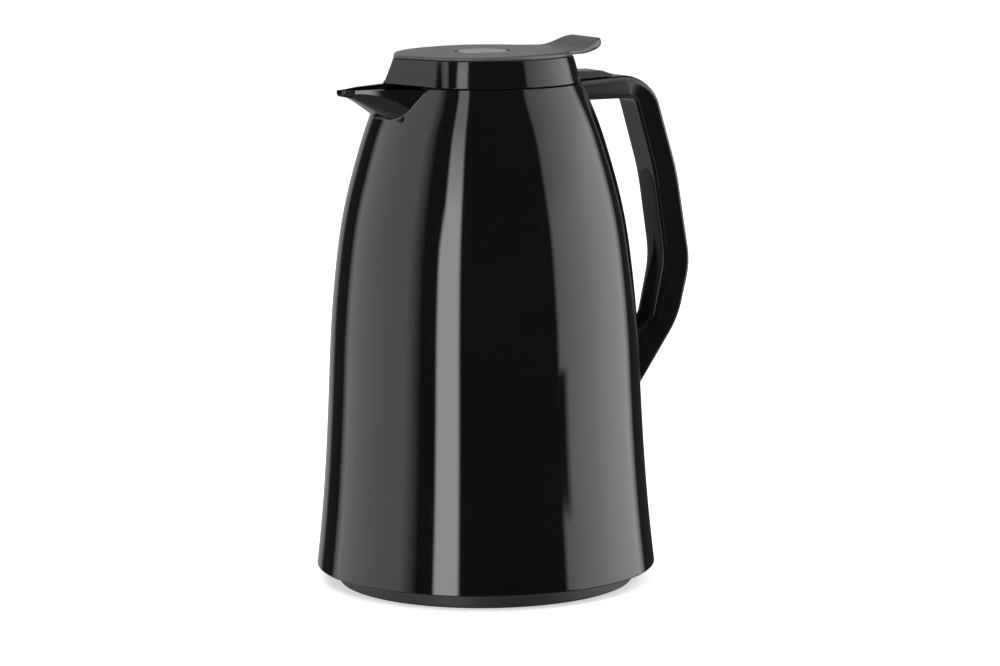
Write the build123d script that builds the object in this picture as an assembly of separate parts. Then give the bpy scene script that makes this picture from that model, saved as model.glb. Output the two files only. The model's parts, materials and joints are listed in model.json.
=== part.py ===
from build123d import *
import math
import os

# Frame: origin in the middle of the foot's underside, +Z up, beak towards -X, handle towards +X.
# All lengths in millimetres, all angles in degrees.

# Outer shell of the body: radius at each height of its outline
base_z = 7.5
base_radius = 80.0
flare_z = 31.0
flare_radius = 77.5
lower_z = 62.0
lower_radius = 75.1
handle_foot_z = 92.0
handle_foot_radius = 73.5
waist_z = 120.0
waist_radius = 72.1
chest_z = 148.0
chest_radius = 69.6
shoulder_z = 175.0
shoulder_radius = 65.6
upper_z = 202.0
upper_radius = 58.7
neck_z = 220.0
neck_radius = 52.7
seam_z = 234.7
seam_radius = 46.1
shell_wall = 2.2
shell_edge_round = 0.8

# Base cap, screwed into the shell
foot_radius = 69.5
foot_width = 5.5
foot_round = 1.2
cap_edge_gap = 0.4
cap_thickness = 3.0
cap_recess = 0.5
cap_skirt_height = 9.0
cap_skirt_wall = 3.4
base_ledge_depth = 4.2
base_ledge_height = 6.0
base_seal_thickness = 2.0
coin_slot_length = 26.0
coin_slot_width = 3.0
coin_slot_depth = 1.4

# Glass liner
liner_room = 8.2
outer_glass_wall = 1.8
inner_glass_wall = 1.6
vacuum_gap = 2.2
liner_bottom_z = 16.0
liner_bottom_rise = 30.0
liner_neck_z = 208.0
neck_bore_radius = 22.5
neck_vacuum_gap = 1.2
glass_lip_height = 3.0
nib_length = 5.0
nib_radius = 4.5
nib_tip_radius = 2.0
seat_radius = 38.0
seat_hole_radius = 9.0
pad_radius = 4.0
pad_z = 62.0
pad_count = 3

# Pouring collar, its clamping nut and the neck gasket
collar_ledge_height = 2.6
collar_seat_z = 223.2
collar_ledge_bore = 37.4
collar_ring_gap = 0.2
collar_rim_drop = 0.2
collar_rim_width = 5.8
collar_floor_z = 225.0
collar_floor_thickness = 2.5
collar_hole_gap = 1.0
throat_lip = 1.0
collar_skirt_wall = 4.0
collar_skirt_length = 9.2
nut_height = 3.0
nut_radius = 42.6
nut_fit = 0.05
gasket_thickness = 2.0
gasket_lap = 3.0
gasket_skirt = 1.2

# Beak of the collar
beak_reach = 73.2
beak_lip_half_width = 4.2
beak_lip_depth = 3.2
beak_lip_round = 1.4
beak_lip_drop = 1.1
beak_slope_start = 60.0
beak_root_x = 34.0
beak_root_half_width = 26.4
beak_root_depth = 28.0
beak_root_round = 7.0
beak_mid_x = 57.9
beak_mid_half_width = 12.6
beak_mid_depth = 10.4
beak_mid_round = 8.0
beak_end_x = 68.2
beak_end_half_width = 5.2
beak_end_depth = 4.2
beak_end_round = 2.4
beak_side_draft = 0.93
beak_wall = 2.2
beak_channel_sill = 1.4
beak_channel_floor = 2.6
beak_channel_round = 2.0
beak_channel_end_round = 0.5
beak_channel_lip = 0.9
beak_parting_gap = 0.25
beak_joint_lap = 0.3

# Lid housing with the prow over the beak
seam_gap = 0.7
lid_low_radius = 45.6
lid_low_nose = 51.4
lid_low_corner = 35.0
lid_top_radius = 42.4
lid_top_nose = 45.9
lid_top_corner = 33.4
lid_wall = 2.2
lid_deck = 2.0
lid_corner_round = 4.0
lid_nose_round = 2.5
lid_rim_z = 247.4
prow_lift = 1.1
deck_opening_front = 8.8
deck_opening_rear = 20.0
deck_opening_half_width = 10.0

# Stopper in the collar's throat
throat_radius = 30.3
stopper_gap = 0.6
spigot_gap = 1.0
spigot_length = 11.5
stopper_wall = 3.0
stopper_top = 2.0
stopper_seal_height = 1.4
seal_gap = 0.1
valve_seat_thickness = 2.4
valve_hole_radius = 11.0
pour_window_half_angle = 38.0
pour_window_height = 4.0
closure_screw_ring = 22.5
closure_screw_count = 4
closure_screw_radius = 1.5
closure_screw_head_radius = 2.9
closure_screw_head_height = 1.8
closure_screw_length = 7.0
screw_boss_radius = 3.6
screw_end_gap = 0.3

# Pour valve
stem_radius = 4.0
valve_disc_gap = 1.5
valve_disc_thickness = 2.5
valve_seal_height = 1.2
valve_seal_width = 3.4
running_fit = 0.05
bush_radius = 6.5
bush_length = 6.5
bush_collar = 1.2
bush_collar_radius = 8.2
cross_pin_radius = 1.5
cross_pin_drop = 4.0
stem_head = 3.0

# Lever plate with the thumb tab
plate_gap = 0.3
plate_thickness = 1.4
plate_edge_round = 1.1
hinge_x = 35.5
hinge_drop = 3.4
hinge_pin_radius = 1.5
hinge_pin_overhang = 0.5
barrel_radius = 2.7
barrel_half_width = 9.7
ear_gap = 0.3
ear_thickness = 3.4
ear_radius = 2.6
fork_inner = 5.0
fork_thickness = 3.2
fork_edge = 1.6
fork_slot_play = 1.0
fork_slot_gap = 0.15
lever_range = 10.0
relief_spare = 0.6
tab_top_x = 54.2
tab_reach = 56.3
tab_half_width = 15.5
tab_root_x = 31.0
tab_root_half_width = 26.0
tab_waist_x = 43.0
tab_waist_half_width = 20.5
tab_corner_round = 6.0
tab_thickness = 4.4
tab_rise = 5.3
tab_start_x = 37.0
tab_slope = 25.0
tab_low_slope = 19.0

# Bare round badge
badge_radius = 11.5
badge_thickness = 0.9
badge_recess_radius = 13.2
badge_recess_depth = 0.7
badge_edge_round = 0.3

# Handle
handle_half_width = 10.0
handle_root_x = 40.0
handle_back = ((86.7, 234.4, 16.0), (99.3, 189.2, 120.0), (107.0, 144.6, 35.0), (100.0, 118.0, 45.0))
handle_back_end = (67.1, 70.8)
handle_hollow = ((76.7, 224.8, 4.5), (87.2, 188.2, 120.0), (93.1, 147.1, 45.0), (87.0, 118.4, 14.0))
handle_hollow_end = (61.3, 91.3)
handle_back_round = 3.5
handle_hollow_round = 1.8
grip_half_width = 6.6
grip_top_z = 190.0
grip_low_z = 106.0
grip_depth = 1.6
grip_proud = 0.3
grip_fit = 0.05
handle_screw_radius = 1.5
handle_screw_head_radius = 2.7
handle_screw_head_height = 2.0
handle_screw_length = 11.0
handle_screw_hole_gap = 0.2
upper_screw_z = 227.0

# Release button on the handle's root, with its bolt, keeper and spring
button_travel = 4.0
button_gap = 0.3
button_height = 3.5
button_half_width = 8.0
button_flat_end = 60.1
button_end = 66.8
button_round = 0.8
button_stem_start = 51.2
button_stem_length = 5.8
button_stem_half_width = 3.0
button_foot_half_width = 5.6
button_foot_height = 2.4
slot_roof = 2.0
slot_gap = 0.25
bolt_half_width = 3.0
bolt_thickness = 1.8
bolt_reach = 40.3
bolt_gap = 0.4
keeper_start = 40.0
keeper_thickness = 3.0
keeper_half_width = 5.6
keeper_bar = 1.9
keeper_pocket_gap = 0.5
latch_spring_length = 12.0
latch_spring_radius = 1.1
latch_spring_wire = 0.22
latch_spring_turns = 6
valve_spring_radius = 9.6
valve_spring_wire = 0.5
valve_spring_turns = 3.5
wire_sides_clearance = 0.02


# Cutting tools run this far past the faces that they cut
cut_margin = 1.0


# Shared helpers

def at(radius, height):
    """A point of an outline in the XZ plane."""
    return (radius, 0, height)


def outline_face(points):
    """Flat face in the XZ plane with straight sides."""
    corners = [at(*point) for point in points]
    return make_face(Polyline(*corners, corners[0]))


def turned(points):
    """Solid of revolution about the vertical axis from a straight-sided outline."""
    return revolve(outline_face(points), Axis.Z, 360)


def disc(radius, low, high):
    """Upright round plate between two heights."""
    return Pos(0, 0, (low + high) / 2) * Cylinder(radius, high - low)


def ring(inner, outer, low, high):
    """Upright ring between two radii and two heights."""
    return disc(outer, low, high) - disc(inner, low - cut_margin, high + cut_margin)


def block(x_low, x_high, y_low, y_high, z_low, z_high):
    """Box between two corners."""
    centre = Pos((x_low + x_high) / 2, (y_low + y_high) / 2, (z_low + z_high) / 2)
    return centre * Box(x_high - x_low, y_high - y_low, z_high - z_low)


def slab(points, half_width):
    """Straight-sided XZ outline given thickness along Y."""
    return extrude(outline_face(points), amount=half_width, dir=(0, 1, 0), both=True)


def rod_x(radius, x_low, x_high, z):
    """Round rod along X."""
    return Pos((x_low + x_high) / 2, 0, z) * Rot(0, 90, 0) * Cylinder(radius, x_high - x_low)


def rod_y(radius, half_length, x, z):
    """Round rod along Y, centred on the middle plane."""
    return Pos(x, 0, z) * Rot(90, 0, 0) * Cylinder(radius, 2 * half_length)


def around(solid, count, start):
    """Copies of a solid turned evenly about the vertical axis."""
    return [Rot(0, 0, start + 360 * step / count) * solid for step in range(count)]


def coil(radius, wire, turns, length):
    """Upright coil spring with its ends inside the given length."""
    pitch = (length - 2 * wire) / turns
    path = Helix(pitch=pitch, height=length - 2 * wire, radius=radius)
    section = Plane(origin=path @ 0, z_dir=path % 0) * Circle(wire)
    return Pos(0, 0, wire) * sweep(section, path=path)


# Outer shell

body_stations = ((base_z, base_radius), (flare_z, flare_radius), (lower_z, lower_radius),
                 (handle_foot_z, handle_foot_radius), (waist_z, waist_radius),
                 (chest_z, chest_radius), (shoulder_z, shoulder_radius), (upper_z, upper_radius),
                 (neck_z, neck_radius), (seam_z, seam_radius))


def outline_radius(z):
    """Radius of the body at a height, taken straight between its stations."""
    for (low, low_radius), (high, high_radius) in zip(body_stations, body_stations[1:]):
        if z <= high:
            return low_radius + (high_radius - low_radius) * (z - low) / (high - low)
    return seam_radius


def body_form(inset):
    """Filled form of the body, drawn in from its outer surface."""
    wall = Spline(*[at(radius - inset, height) for height, radius in body_stations])
    top = Line(wall @ 1, at(0, seam_z))
    axis = Line(at(0, seam_z), at(0, base_z))
    bottom = Line(at(0, base_z), wall @ 0)
    return revolve(make_face([wall, top, axis, bottom]), Axis.Z, 360)


body_solid = body_form(0)
body_cavity = body_form(shell_wall)
body_skin = body_form(shell_wall / 2)
body_clear = body_form(shell_wall + cap_edge_gap / 2)

cap_top_z = base_z + cap_recess + cap_thickness
base_ledge_z = cap_top_z + base_seal_thickness
base_inner_radius = outline_radius(base_ledge_z) - shell_wall
base_ledge_bore = base_inner_radius - base_ledge_depth


def shell_window():
    """Opening in the shell for the bolt of the release button."""
    half = bolt_half_width + bolt_gap
    return block(seam_radius - shell_wall - collar_rim_width, neck_radius, -half, half,
                 bolt_low - bolt_gap, bolt_high + bolt_gap)


def make_body_shell():
    shell = body_solid - body_cavity
    ledge_low = collar_seat_z - collar_ledge_height
    beyond = base_radius + flare_radius
    shell += body_skin & ring(collar_ledge_bore, beyond, ledge_low, collar_seat_z)
    shell += body_skin & ring(base_ledge_bore, beyond, base_ledge_z, base_ledge_z + base_ledge_height)
    edges = shell.edges().filter_by(GeomType.CIRCLE).group_by(Axis.Z)
    shell = fillet([edges[0].sort_by(SortBy.RADIUS)[-1]], shell_edge_round)
    shell -= beak_form(beak_parting_gap, seam_z)
    shell -= shell_window()
    for height in handle_screw_heights:
        radius = outline_radius(height)
        shell -= rod_x(handle_screw_radius + handle_screw_hole_gap, radius - 3 * shell_wall,
                       radius + shell_wall, height)
    return shell


# Base cap, seal and liner seat

def make_base_cap():
    skirt_outer = base_ledge_bore - running_fit
    skirt_inner = skirt_outer - cap_skirt_wall
    edge_z = base_z + cap_recess
    inner_z = edge_z - cap_thickness
    cap = turned(((0, inner_z), (foot_radius - foot_width, inner_z), (foot_radius - foot_width, 0),
                  (foot_radius, 0), (foot_radius, edge_z),
                  (base_inner_radius - cap_edge_gap, edge_z),
                  (base_inner_radius - cap_edge_gap, cap_top_z), (skirt_outer, cap_top_z),
                  (skirt_outer, cap_top_z + cap_skirt_height),
                  (skirt_inner, cap_top_z + cap_skirt_height), (skirt_inner, cap_top_z),
                  (foot_radius - foot_width, edge_z), (0, edge_z)))
    rims = cap.edges().filter_by(GeomType.CIRCLE).group_by(Axis.Z)[0]
    cap = fillet(rims, foot_round)
    slot_high = inner_z + coin_slot_depth
    half_length = coin_slot_length / 2
    half_width = coin_slot_width / 2
    cap -= block(-half_length, half_length, -half_width, half_width, inner_z - cut_margin, slot_high)
    return cap


def make_base_seal():
    return ring(base_ledge_bore, base_inner_radius - cap_edge_gap, cap_top_z, base_ledge_z) & body_clear


# Glass liner: two bottles with a vacuum between them, joined at the lip

glass_radius = waist_radius - shell_wall - liner_room
neck_outer_radius = neck_bore_radius + inner_glass_wall + neck_vacuum_gap + outer_glass_wall
lip_low_z = collar_floor_z - gasket_thickness - glass_lip_height
lip_high_z = collar_floor_z - gasket_thickness


def bottle(side_inset, neck_inset, lift, top):
    """Filled bottle, drawn in from the liner's outer form."""
    low = liner_bottom_z + lift
    side_radius = glass_radius - side_inset
    dome_z = low + liner_bottom_rise
    neck = neck_outer_radius - neck_inset
    dome = Spline(at(0, low), at(side_radius, dome_z), tangents=[(1, 0, 0), (0, 0, 1)])
    side = Line(at(side_radius, dome_z), at(side_radius, waist_z))
    chest = at(chest_radius - shell_wall - liner_room - side_inset, chest_z)
    shoulder = at(shoulder_radius - shell_wall - liner_room - side_inset, shoulder_z)
    upper = Spline(at(side_radius, waist_z), chest, shoulder, at(neck, liner_neck_z),
                   tangents=[(0, 0, 1), (0, 0, 1)])
    neck_line = Line(at(neck, liner_neck_z), at(neck, top))
    lid = Line(at(neck, top), at(0, top))
    axis = Line(at(0, top), at(0, low))
    return revolve(make_face([dome, side, upper, neck_line, lid, axis]), Axis.Z, 360)


inner_side = outer_glass_wall + vacuum_gap
inner_neck = outer_glass_wall + neck_vacuum_gap
liner_solid = bottle(0, 0, 0, lip_low_z)
vacuum_solid = bottle(outer_glass_wall, outer_glass_wall, outer_glass_wall, lip_low_z)
inner_solid = bottle(inner_side, inner_neck, inner_side, lip_low_z)
flask_cavity = bottle(inner_side + inner_glass_wall, inner_neck + inner_glass_wall,
                      inner_side + inner_glass_wall, lip_high_z)


def make_outer_glass():
    nib = Pos(0, 0, liner_bottom_z - nib_length / 2 + outer_glass_wall / 2)
    nib = nib * Cone(nib_tip_radius, nib_radius, nib_length + outer_glass_wall)
    return liner_solid - vacuum_solid + (nib - vacuum_solid)


def make_inner_glass():
    lip = disc(neck_outer_radius, lip_low_z, lip_high_z)
    lip_edges = lip.edges().filter_by(GeomType.CIRCLE).group_by(Axis.Z)[-1]
    lip = fillet(lip_edges, glass_lip_height / 3)
    return inner_solid + lip - flask_cavity


def make_glass_pads():
    pad = rod_x(pad_radius, glass_radius - inner_side - pad_radius, glass_radius, pad_z)
    pad = (pad & vacuum_solid) - inner_solid
    return Compound(around(pad, pad_count, 180 / pad_count))


def make_liner_seat():
    low = base_z + cap_recess
    high = liner_bottom_z + liner_bottom_rise / 3
    return ring(seat_hole_radius, seat_radius, low, high) - liner_solid


# Pouring collar with the beak, clamping nut and gasket

collar_radius = seam_radius - shell_wall - collar_ring_gap
collar_rim_z = seam_z - collar_rim_drop
collar_hole_radius = neck_bore_radius + collar_hole_gap
floor_top_z = collar_floor_z + collar_floor_thickness
skirt_radius = collar_ledge_bore - collar_ring_gap


def beak_section(x, half_width, depth, bottom_round, grow, top_z):
    """Upright section across the beak: a round-bottomed trough, filled."""
    wide = half_width + grow
    low = collar_rim_z - depth - grow
    foot = wide * beak_side_draft
    plane = Plane(origin=(-x, 0, 0), x_dir=(0, 1, 0), z_dir=(1, 0, 0))
    trough = Polyline((-wide, top_z), (-foot, low), (foot, low), (wide, top_z), close=True)
    face = make_face(trough)
    bottom = face.vertices().group_by(Axis.Y)[0]
    return plane * fillet(bottom, bottom_round + grow)


def beak_form(grow, top_z):
    """Filled form of the beak, grown all round for the opening in the shell."""
    root = beak_section(beak_root_x, beak_root_half_width, beak_root_depth, beak_root_round, grow, top_z)
    middle = beak_section(beak_mid_x, beak_mid_half_width, beak_mid_depth, beak_mid_round, grow, top_z)
    end = beak_section(beak_end_x, beak_end_half_width, beak_end_depth, beak_end_round, grow, top_z)
    return loft([root, middle, end])


def beak_lip():
    """Narrow drip lip that carries the beak on to its tip."""
    end = beak_section(beak_end_x, beak_end_half_width, beak_end_depth, beak_end_round, 0, collar_rim_z)
    tip = beak_section(beak_reach, beak_lip_half_width, beak_lip_depth, beak_lip_round, 0, collar_rim_z)
    lip = loft([end, tip], ruled=True)
    corners = lip.edges().filter_by(GeomType.LINE).sort_by(Axis.X)
    corners = [edge for edge in corners if edge.center().X < -beak_reach + beak_end_round / 2
               and abs(edge.center().Y) > beak_lip_half_width - beak_end_round]
    upright = [edge for edge in corners if edge.bounding_box().size.Z > beak_lip_depth / 4]
    return fillet(upright, beak_lip_round)


def beak_slope():
    """Wedge that lets the beak's rim fall towards its tip."""
    length = beak_reach - beak_slope_start
    angle = math.degrees(math.atan2(beak_lip_drop, length))
    wedge = block(-2 * length, 0, -beak_mid_half_width, beak_mid_half_width, 0, 2 * beak_lip_drop)
    return Pos(-beak_slope_start, 0, collar_rim_z) * Rot(0, -angle, 0) * wedge


def beak_channel():
    """Pouring channel, open to the collar's bowl and over the lip."""
    root_floor = collar_rim_z - floor_top_z - beak_channel_sill
    middle_floor = min(beak_mid_depth - beak_channel_floor, root_floor)
    end_floor = beak_lip_drop + beak_channel_lip

    def hollow(x, half_width, floor, bend):
        return beak_section(x, half_width, floor + beak_wall, bend + beak_wall, -beak_wall,
                            collar_rim_z + cut_margin)
    root = hollow(beak_root_x, beak_root_half_width, root_floor, beak_channel_round)
    middle = hollow(beak_mid_x, beak_mid_half_width, middle_floor, beak_channel_round)
    end = hollow(beak_reach + cut_margin, beak_lip_half_width, end_floor, beak_channel_end_round)
    return loft([root, middle, end])


def make_pouring_collar():
    rim_inner = collar_radius - collar_rim_width
    lip_z = floor_top_z + throat_lip
    collar = turned(((collar_hole_radius, collar_floor_z),
                     (skirt_radius - collar_skirt_wall, collar_floor_z),
                     (skirt_radius - collar_skirt_wall, collar_seat_z - collar_skirt_length),
                     (skirt_radius, collar_seat_z - collar_skirt_length),
                     (skirt_radius, collar_seat_z), (collar_radius, collar_seat_z),
                     (collar_radius, collar_rim_z), (rim_inner, collar_rim_z),
                     (throat_radius, lip_z), (throat_radius, floor_top_z),
                     (collar_hole_radius, floor_top_z)))
    bore = disc(collar_radius - beak_joint_lap, collar_seat_z - beak_root_depth, collar_rim_z + cut_margin)
    beak = beak_form(0, collar_rim_z) + beak_lip() - bore - beak_slope()
    collar += beak
    collar -= beak_channel() - disc(throat_radius, floor_top_z, collar_rim_z + cut_margin)
    pocket_half = keeper_half_width + keeper_pocket_gap
    collar -= block(keeper_start - keeper_pocket_gap, seam_radius, -pocket_half, pocket_half,
                    keeper_low - keeper_pocket_gap, seam_z)
    return collar


def make_collar_nut():
    high = collar_seat_z - collar_ledge_height
    return ring(skirt_radius + nut_fit, nut_radius, high - nut_height, high)


def make_neck_gasket():
    outer = neck_outer_radius + gasket_skirt
    return turned(((neck_bore_radius + collar_hole_gap, lip_high_z), (neck_outer_radius, lip_high_z),
                   (neck_outer_radius, lip_high_z - gasket_lap), (outer, lip_high_z - gasket_lap),
                   (outer, collar_floor_z), (neck_bore_radius + collar_hole_gap, collar_floor_z)))


# Lid housing

lid_low_z = seam_z + seam_gap
deck_top_z = lid_low_z + lid_deck
hinge_z = lid_rim_z + plate_gap - hinge_drop


def lid_outline(z, radius, nose, corner, inset):
    """Round outline with the two flat faces of the prow, drawn in by an inset."""
    round_radius = radius - inset
    nose_x = nose - inset * nose / corner
    angle = math.degrees(math.acos(corner / radius))
    side = math.sin(math.radians(angle)) * round_radius
    front = math.cos(math.radians(angle)) * round_radius
    arc = CenterArc((0, 0), round_radius, angle - 180, 360 - 2 * angle)
    upper = Line((-front, side), (-nose_x, 0))
    lower = Line((-nose_x, 0), (-front, -side))
    face = make_face([arc, upper, lower])
    points = face.vertices().sort_by(Axis.X)
    nose_round = max(lid_nose_round - inset, lid_nose_round / 4)
    corner_round = max(lid_corner_round - inset, lid_corner_round / 4)
    face = fillet(points[0], nose_round)
    corners = [v for v in face.vertices() if abs(abs(v.Y) - side) < side / 50]
    face = fillet(corners, corner_round)
    return Pos(0, 0, z) * face


def lid_form(inset, low, high):
    """Filled form of the lid between two heights, drawn in by an inset."""
    def station(z):
        share = (z - lid_low_z) / (lid_rim_z - lid_low_z)
        radius = lid_low_radius + (lid_top_radius - lid_low_radius) * share
        nose = lid_low_nose + (lid_top_nose - lid_low_nose) * share
        corner = lid_low_corner + (lid_top_corner - lid_low_corner) * share
        return lid_outline(z, radius, nose, corner, inset)
    return loft([station(low), station(high)], ruled=True)


def hinge_ears():
    """Pair of ears that carry the hinge pin."""
    ears = None
    for side in (-1, 1):
        near = side * (barrel_half_width + ear_gap)
        far = near + side * ear_thickness
        low, high = min(near, far), max(near, far)
        ear = block(hinge_x - ear_radius, hinge_x + ear_radius, low, high, deck_top_z, hinge_z)
        ear += Pos(hinge_x, (low + high) / 2, hinge_z) * Rot(90, 0, 0) * Cylinder(ear_radius, high - low)
        ears = ear if ears is None else ears + ear
    return ears


def rear_relief():
    """Wedge cut from the rear rim, so that the tab can be pressed down."""
    angle = lever_range + relief_spare
    wedge = block(0, lid_low_radius, -lid_low_radius, lid_low_radius, 0, lid_rim_z - lid_low_z)
    return Pos(hinge_x, 0, lid_rim_z) * Rot(0, angle, 0) * wedge


def prow_relief():
    """Wedge cut from under the prow, so that its lower edge rises over the beak."""
    length = lid_low_nose - lid_low_corner
    angle = math.degrees(math.atan2(prow_lift, length))
    wedge = block(-2 * length, 0, -lid_low_radius, lid_low_radius, -2 * prow_lift, 0)
    return Pos(-lid_low_corner, 0, lid_low_z) * Rot(0, angle, 0) * wedge


def keeper():
    """Tongue that hangs from the lid into the collar, with the window for the bolt."""
    half = bolt_half_width + bolt_gap
    tongue = block(keeper_start, keeper_start + keeper_thickness, -keeper_half_width,
                   keeper_half_width, keeper_low, deck_top_z)
    window = block(keeper_start - cut_margin, keeper_start + keeper_thickness + cut_margin, -half, half,
                   bolt_low - bolt_gap, bolt_high + bolt_gap)
    return tongue - window


def screw_places():
    """Places of the closure screws on their ring."""
    turn = 180 / closure_screw_count
    spots = []
    for step in range(closure_screw_count):
        angle = math.radians(turn + 360 * step / closure_screw_count)
        spots.append((closure_screw_ring * math.cos(angle), closure_screw_ring * math.sin(angle)))
    return spots


def make_lid_housing():
    housing = lid_form(0, lid_low_z, lid_rim_z)
    housing -= lid_form(lid_wall, deck_top_z, lid_rim_z + cut_margin)
    housing -= block(-deck_opening_front, deck_opening_rear, -deck_opening_half_width,
                     deck_opening_half_width, lid_low_z - cut_margin, deck_top_z + cut_margin)
    housing += hinge_ears()
    housing += keeper()
    housing -= rear_relief()
    housing -= prow_relief()
    housing -= rod_y(hinge_pin_radius + running_fit, pin_half_length, hinge_x, hinge_z)
    for x, y in screw_places():
        housing -= Pos(x, y, deck_top_z) * Cylinder(closure_screw_radius + running_fit, 3 * lid_deck)
    return housing


def make_hinge_pin():
    return rod_y(hinge_pin_radius, pin_half_length, hinge_x, hinge_z)


# Stopper

stopper_radius = throat_radius - stopper_gap
spigot_radius = neck_bore_radius - spigot_gap
seal_low_z = floor_top_z + seal_gap
stopper_low_z = seal_low_z + stopper_seal_height
spigot_low_z = stopper_low_z - spigot_length - stopper_seal_height
seat_top_z = spigot_low_z + valve_seat_thickness
chamber_top_z = lid_low_z - stopper_top
screw_low_z = deck_top_z - closure_screw_length


def pour_window():
    """Window in the stopper's wall towards the beak."""
    high = chamber_top_z
    window = ring(spigot_radius - stopper_wall, throat_radius, high - pour_window_height, high)
    half = throat_radius * math.tan(math.radians(pour_window_half_angle))
    wedge = Polyline((0, 0), (-throat_radius, half), (-throat_radius, -half), close=True)
    return window & Pos(0, 0, seat_top_z) * extrude(make_face(wedge), high - seat_top_z)


def make_stopper_body():
    wall_radius = stopper_radius - stopper_wall
    spigot_inner = spigot_radius - stopper_wall
    stopper = turned(((valve_hole_radius, spigot_low_z), (spigot_radius, spigot_low_z),
                      (spigot_radius, stopper_low_z), (stopper_radius, stopper_low_z),
                      (stopper_radius, lid_low_z), (bush_radius, lid_low_z),
                      (bush_radius, chamber_top_z), (wall_radius, chamber_top_z),
                      (wall_radius, stopper_low_z + stopper_wall / 2),
                      (spigot_inner, stopper_low_z + stopper_wall / 2), (spigot_inner, seat_top_z),
                      (valve_hole_radius, seat_top_z)))
    stopper -= pour_window()
    for x, y in screw_places():
        stopper += Pos(x, y, 0) * disc(screw_boss_radius, stopper_low_z, lid_low_z)
    for x, y in screw_places():
        stopper -= Pos(x, y, 0) * disc(closure_screw_radius + running_fit, screw_low_z - screw_end_gap,
                                       lid_low_z + cut_margin)
    return stopper


def make_stopper_seal():
    return ring(spigot_radius, stopper_radius, seal_low_z, stopper_low_z)


def make_closure_screws():
    screws = []
    for x, y in screw_places():
        head = disc(closure_screw_head_radius, deck_top_z, deck_top_z + closure_screw_head_height)
        shank = disc(closure_screw_radius, screw_low_z, deck_top_z)
        screws.append(Pos(x, y, 0) * (head + shank))
    return Compound(screws)


def make_guide_bush():
    low = lid_low_z + bush_collar - bush_length
    bush = ring(stem_radius + running_fit, bush_radius, low, lid_low_z)
    bush += ring(stem_radius + running_fit, bush_collar_radius, lid_low_z, lid_low_z + bush_collar / 2)
    return bush


# Pour valve

valve_seal_low_z = seat_top_z + seal_gap
disc_low_z = valve_seal_low_z + valve_seal_height
disc_high_z = disc_low_z + valve_disc_thickness
cross_pin_z = hinge_z - cross_pin_drop
disc_radius = spigot_radius - stopper_wall - valve_disc_gap
fork_outer = fork_inner + fork_thickness
valve_lift = hinge_x * (math.tan(math.radians(lever_range) - math.atan2(cross_pin_drop, hinge_x))
                        + cross_pin_drop / hinge_x)


def make_valve_stem():
    stem = disc(stem_radius, disc_high_z, cross_pin_z + stem_head)
    stem -= rod_y(cross_pin_radius, 2 * stem_radius, 0, cross_pin_z)
    return stem


def make_valve_disc():
    plate = disc(disc_radius, disc_low_z, disc_high_z)
    upper = plate.edges().filter_by(GeomType.CIRCLE).group_by(Axis.Z)[-1]
    return chamfer(upper, valve_disc_thickness / 3)


def make_valve_seal():
    return ring(disc_radius - valve_seal_width, disc_radius, valve_seal_low_z, disc_low_z)


def make_cross_pin():
    return rod_y(cross_pin_radius, fork_outer + hinge_pin_overhang, 0, cross_pin_z)


def make_valve_spring():
    length = chamber_top_z - disc_high_z - 2 * wire_sides_clearance
    spring = coil(valve_spring_radius, valve_spring_wire, valve_spring_turns, length)
    return Pos(0, 0, disc_high_z + wire_sides_clearance) * spring


# Lever plate and badge

plate_low_z = lid_rim_z + plate_gap
plate_high_z = plate_low_z + plate_thickness
pin_half_length = barrel_half_width + ear_gap + ear_thickness + hinge_pin_overhang


def tab_plan():
    """Outline of the thumb tab seen from above."""
    side = Spline((tab_root_x, tab_root_half_width), (tab_waist_x, tab_waist_half_width),
                  (tab_reach, tab_half_width))
    other = Spline((tab_root_x, -tab_root_half_width), (tab_waist_x, -tab_waist_half_width),
                   (tab_reach, -tab_half_width))
    end = Line((tab_reach, tab_half_width), (tab_reach, -tab_half_width))
    root = Line((tab_root_x, tab_root_half_width), (tab_root_x, -tab_root_half_width))
    face = make_face([side, end, other, root])
    return fillet(face.vertices().group_by(Axis.X)[-1], tab_corner_round)


def tab_side():
    """Side outline of the thumb tab: it rises in a hollow curve to its rounded end."""
    top_end = at(tab_top_x, plate_high_z + tab_rise)
    low_end = at(tab_top_x, plate_high_z + tab_rise - tab_thickness)
    nose = at(tab_reach, plate_high_z + tab_rise - tab_thickness / 2)
    rise = (1, 0, math.tan(math.radians(tab_slope)))
    low_rise = (1, 0, math.tan(math.radians(tab_low_slope)))
    top = Spline(at(tab_start_x, plate_high_z), top_end, tangents=[(1, 0, 0), rise])
    low = Spline(at(lid_top_radius, plate_low_z), low_end, tangents=[(1, 0, 0), low_rise])
    end = ThreePointArc(top_end, nose, low_end)
    root_low = Line(at(tab_root_x, plate_low_z), at(lid_top_radius, plate_low_z))
    root = Line(at(tab_root_x, plate_high_z), at(tab_root_x, plate_low_z))
    root_top = Line(at(tab_root_x, plate_high_z), at(tab_start_x, plate_high_z))
    return make_face([top, end, low, root_low, root, root_top])


def make_thumb_tab():
    tab = extrude(tab_side(), amount=lid_low_radius, dir=(0, 1, 0), both=True)
    tab &= Pos(0, 0, plate_low_z) * extrude(tab_plan(), 3 * tab_rise)
    return tab


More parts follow.
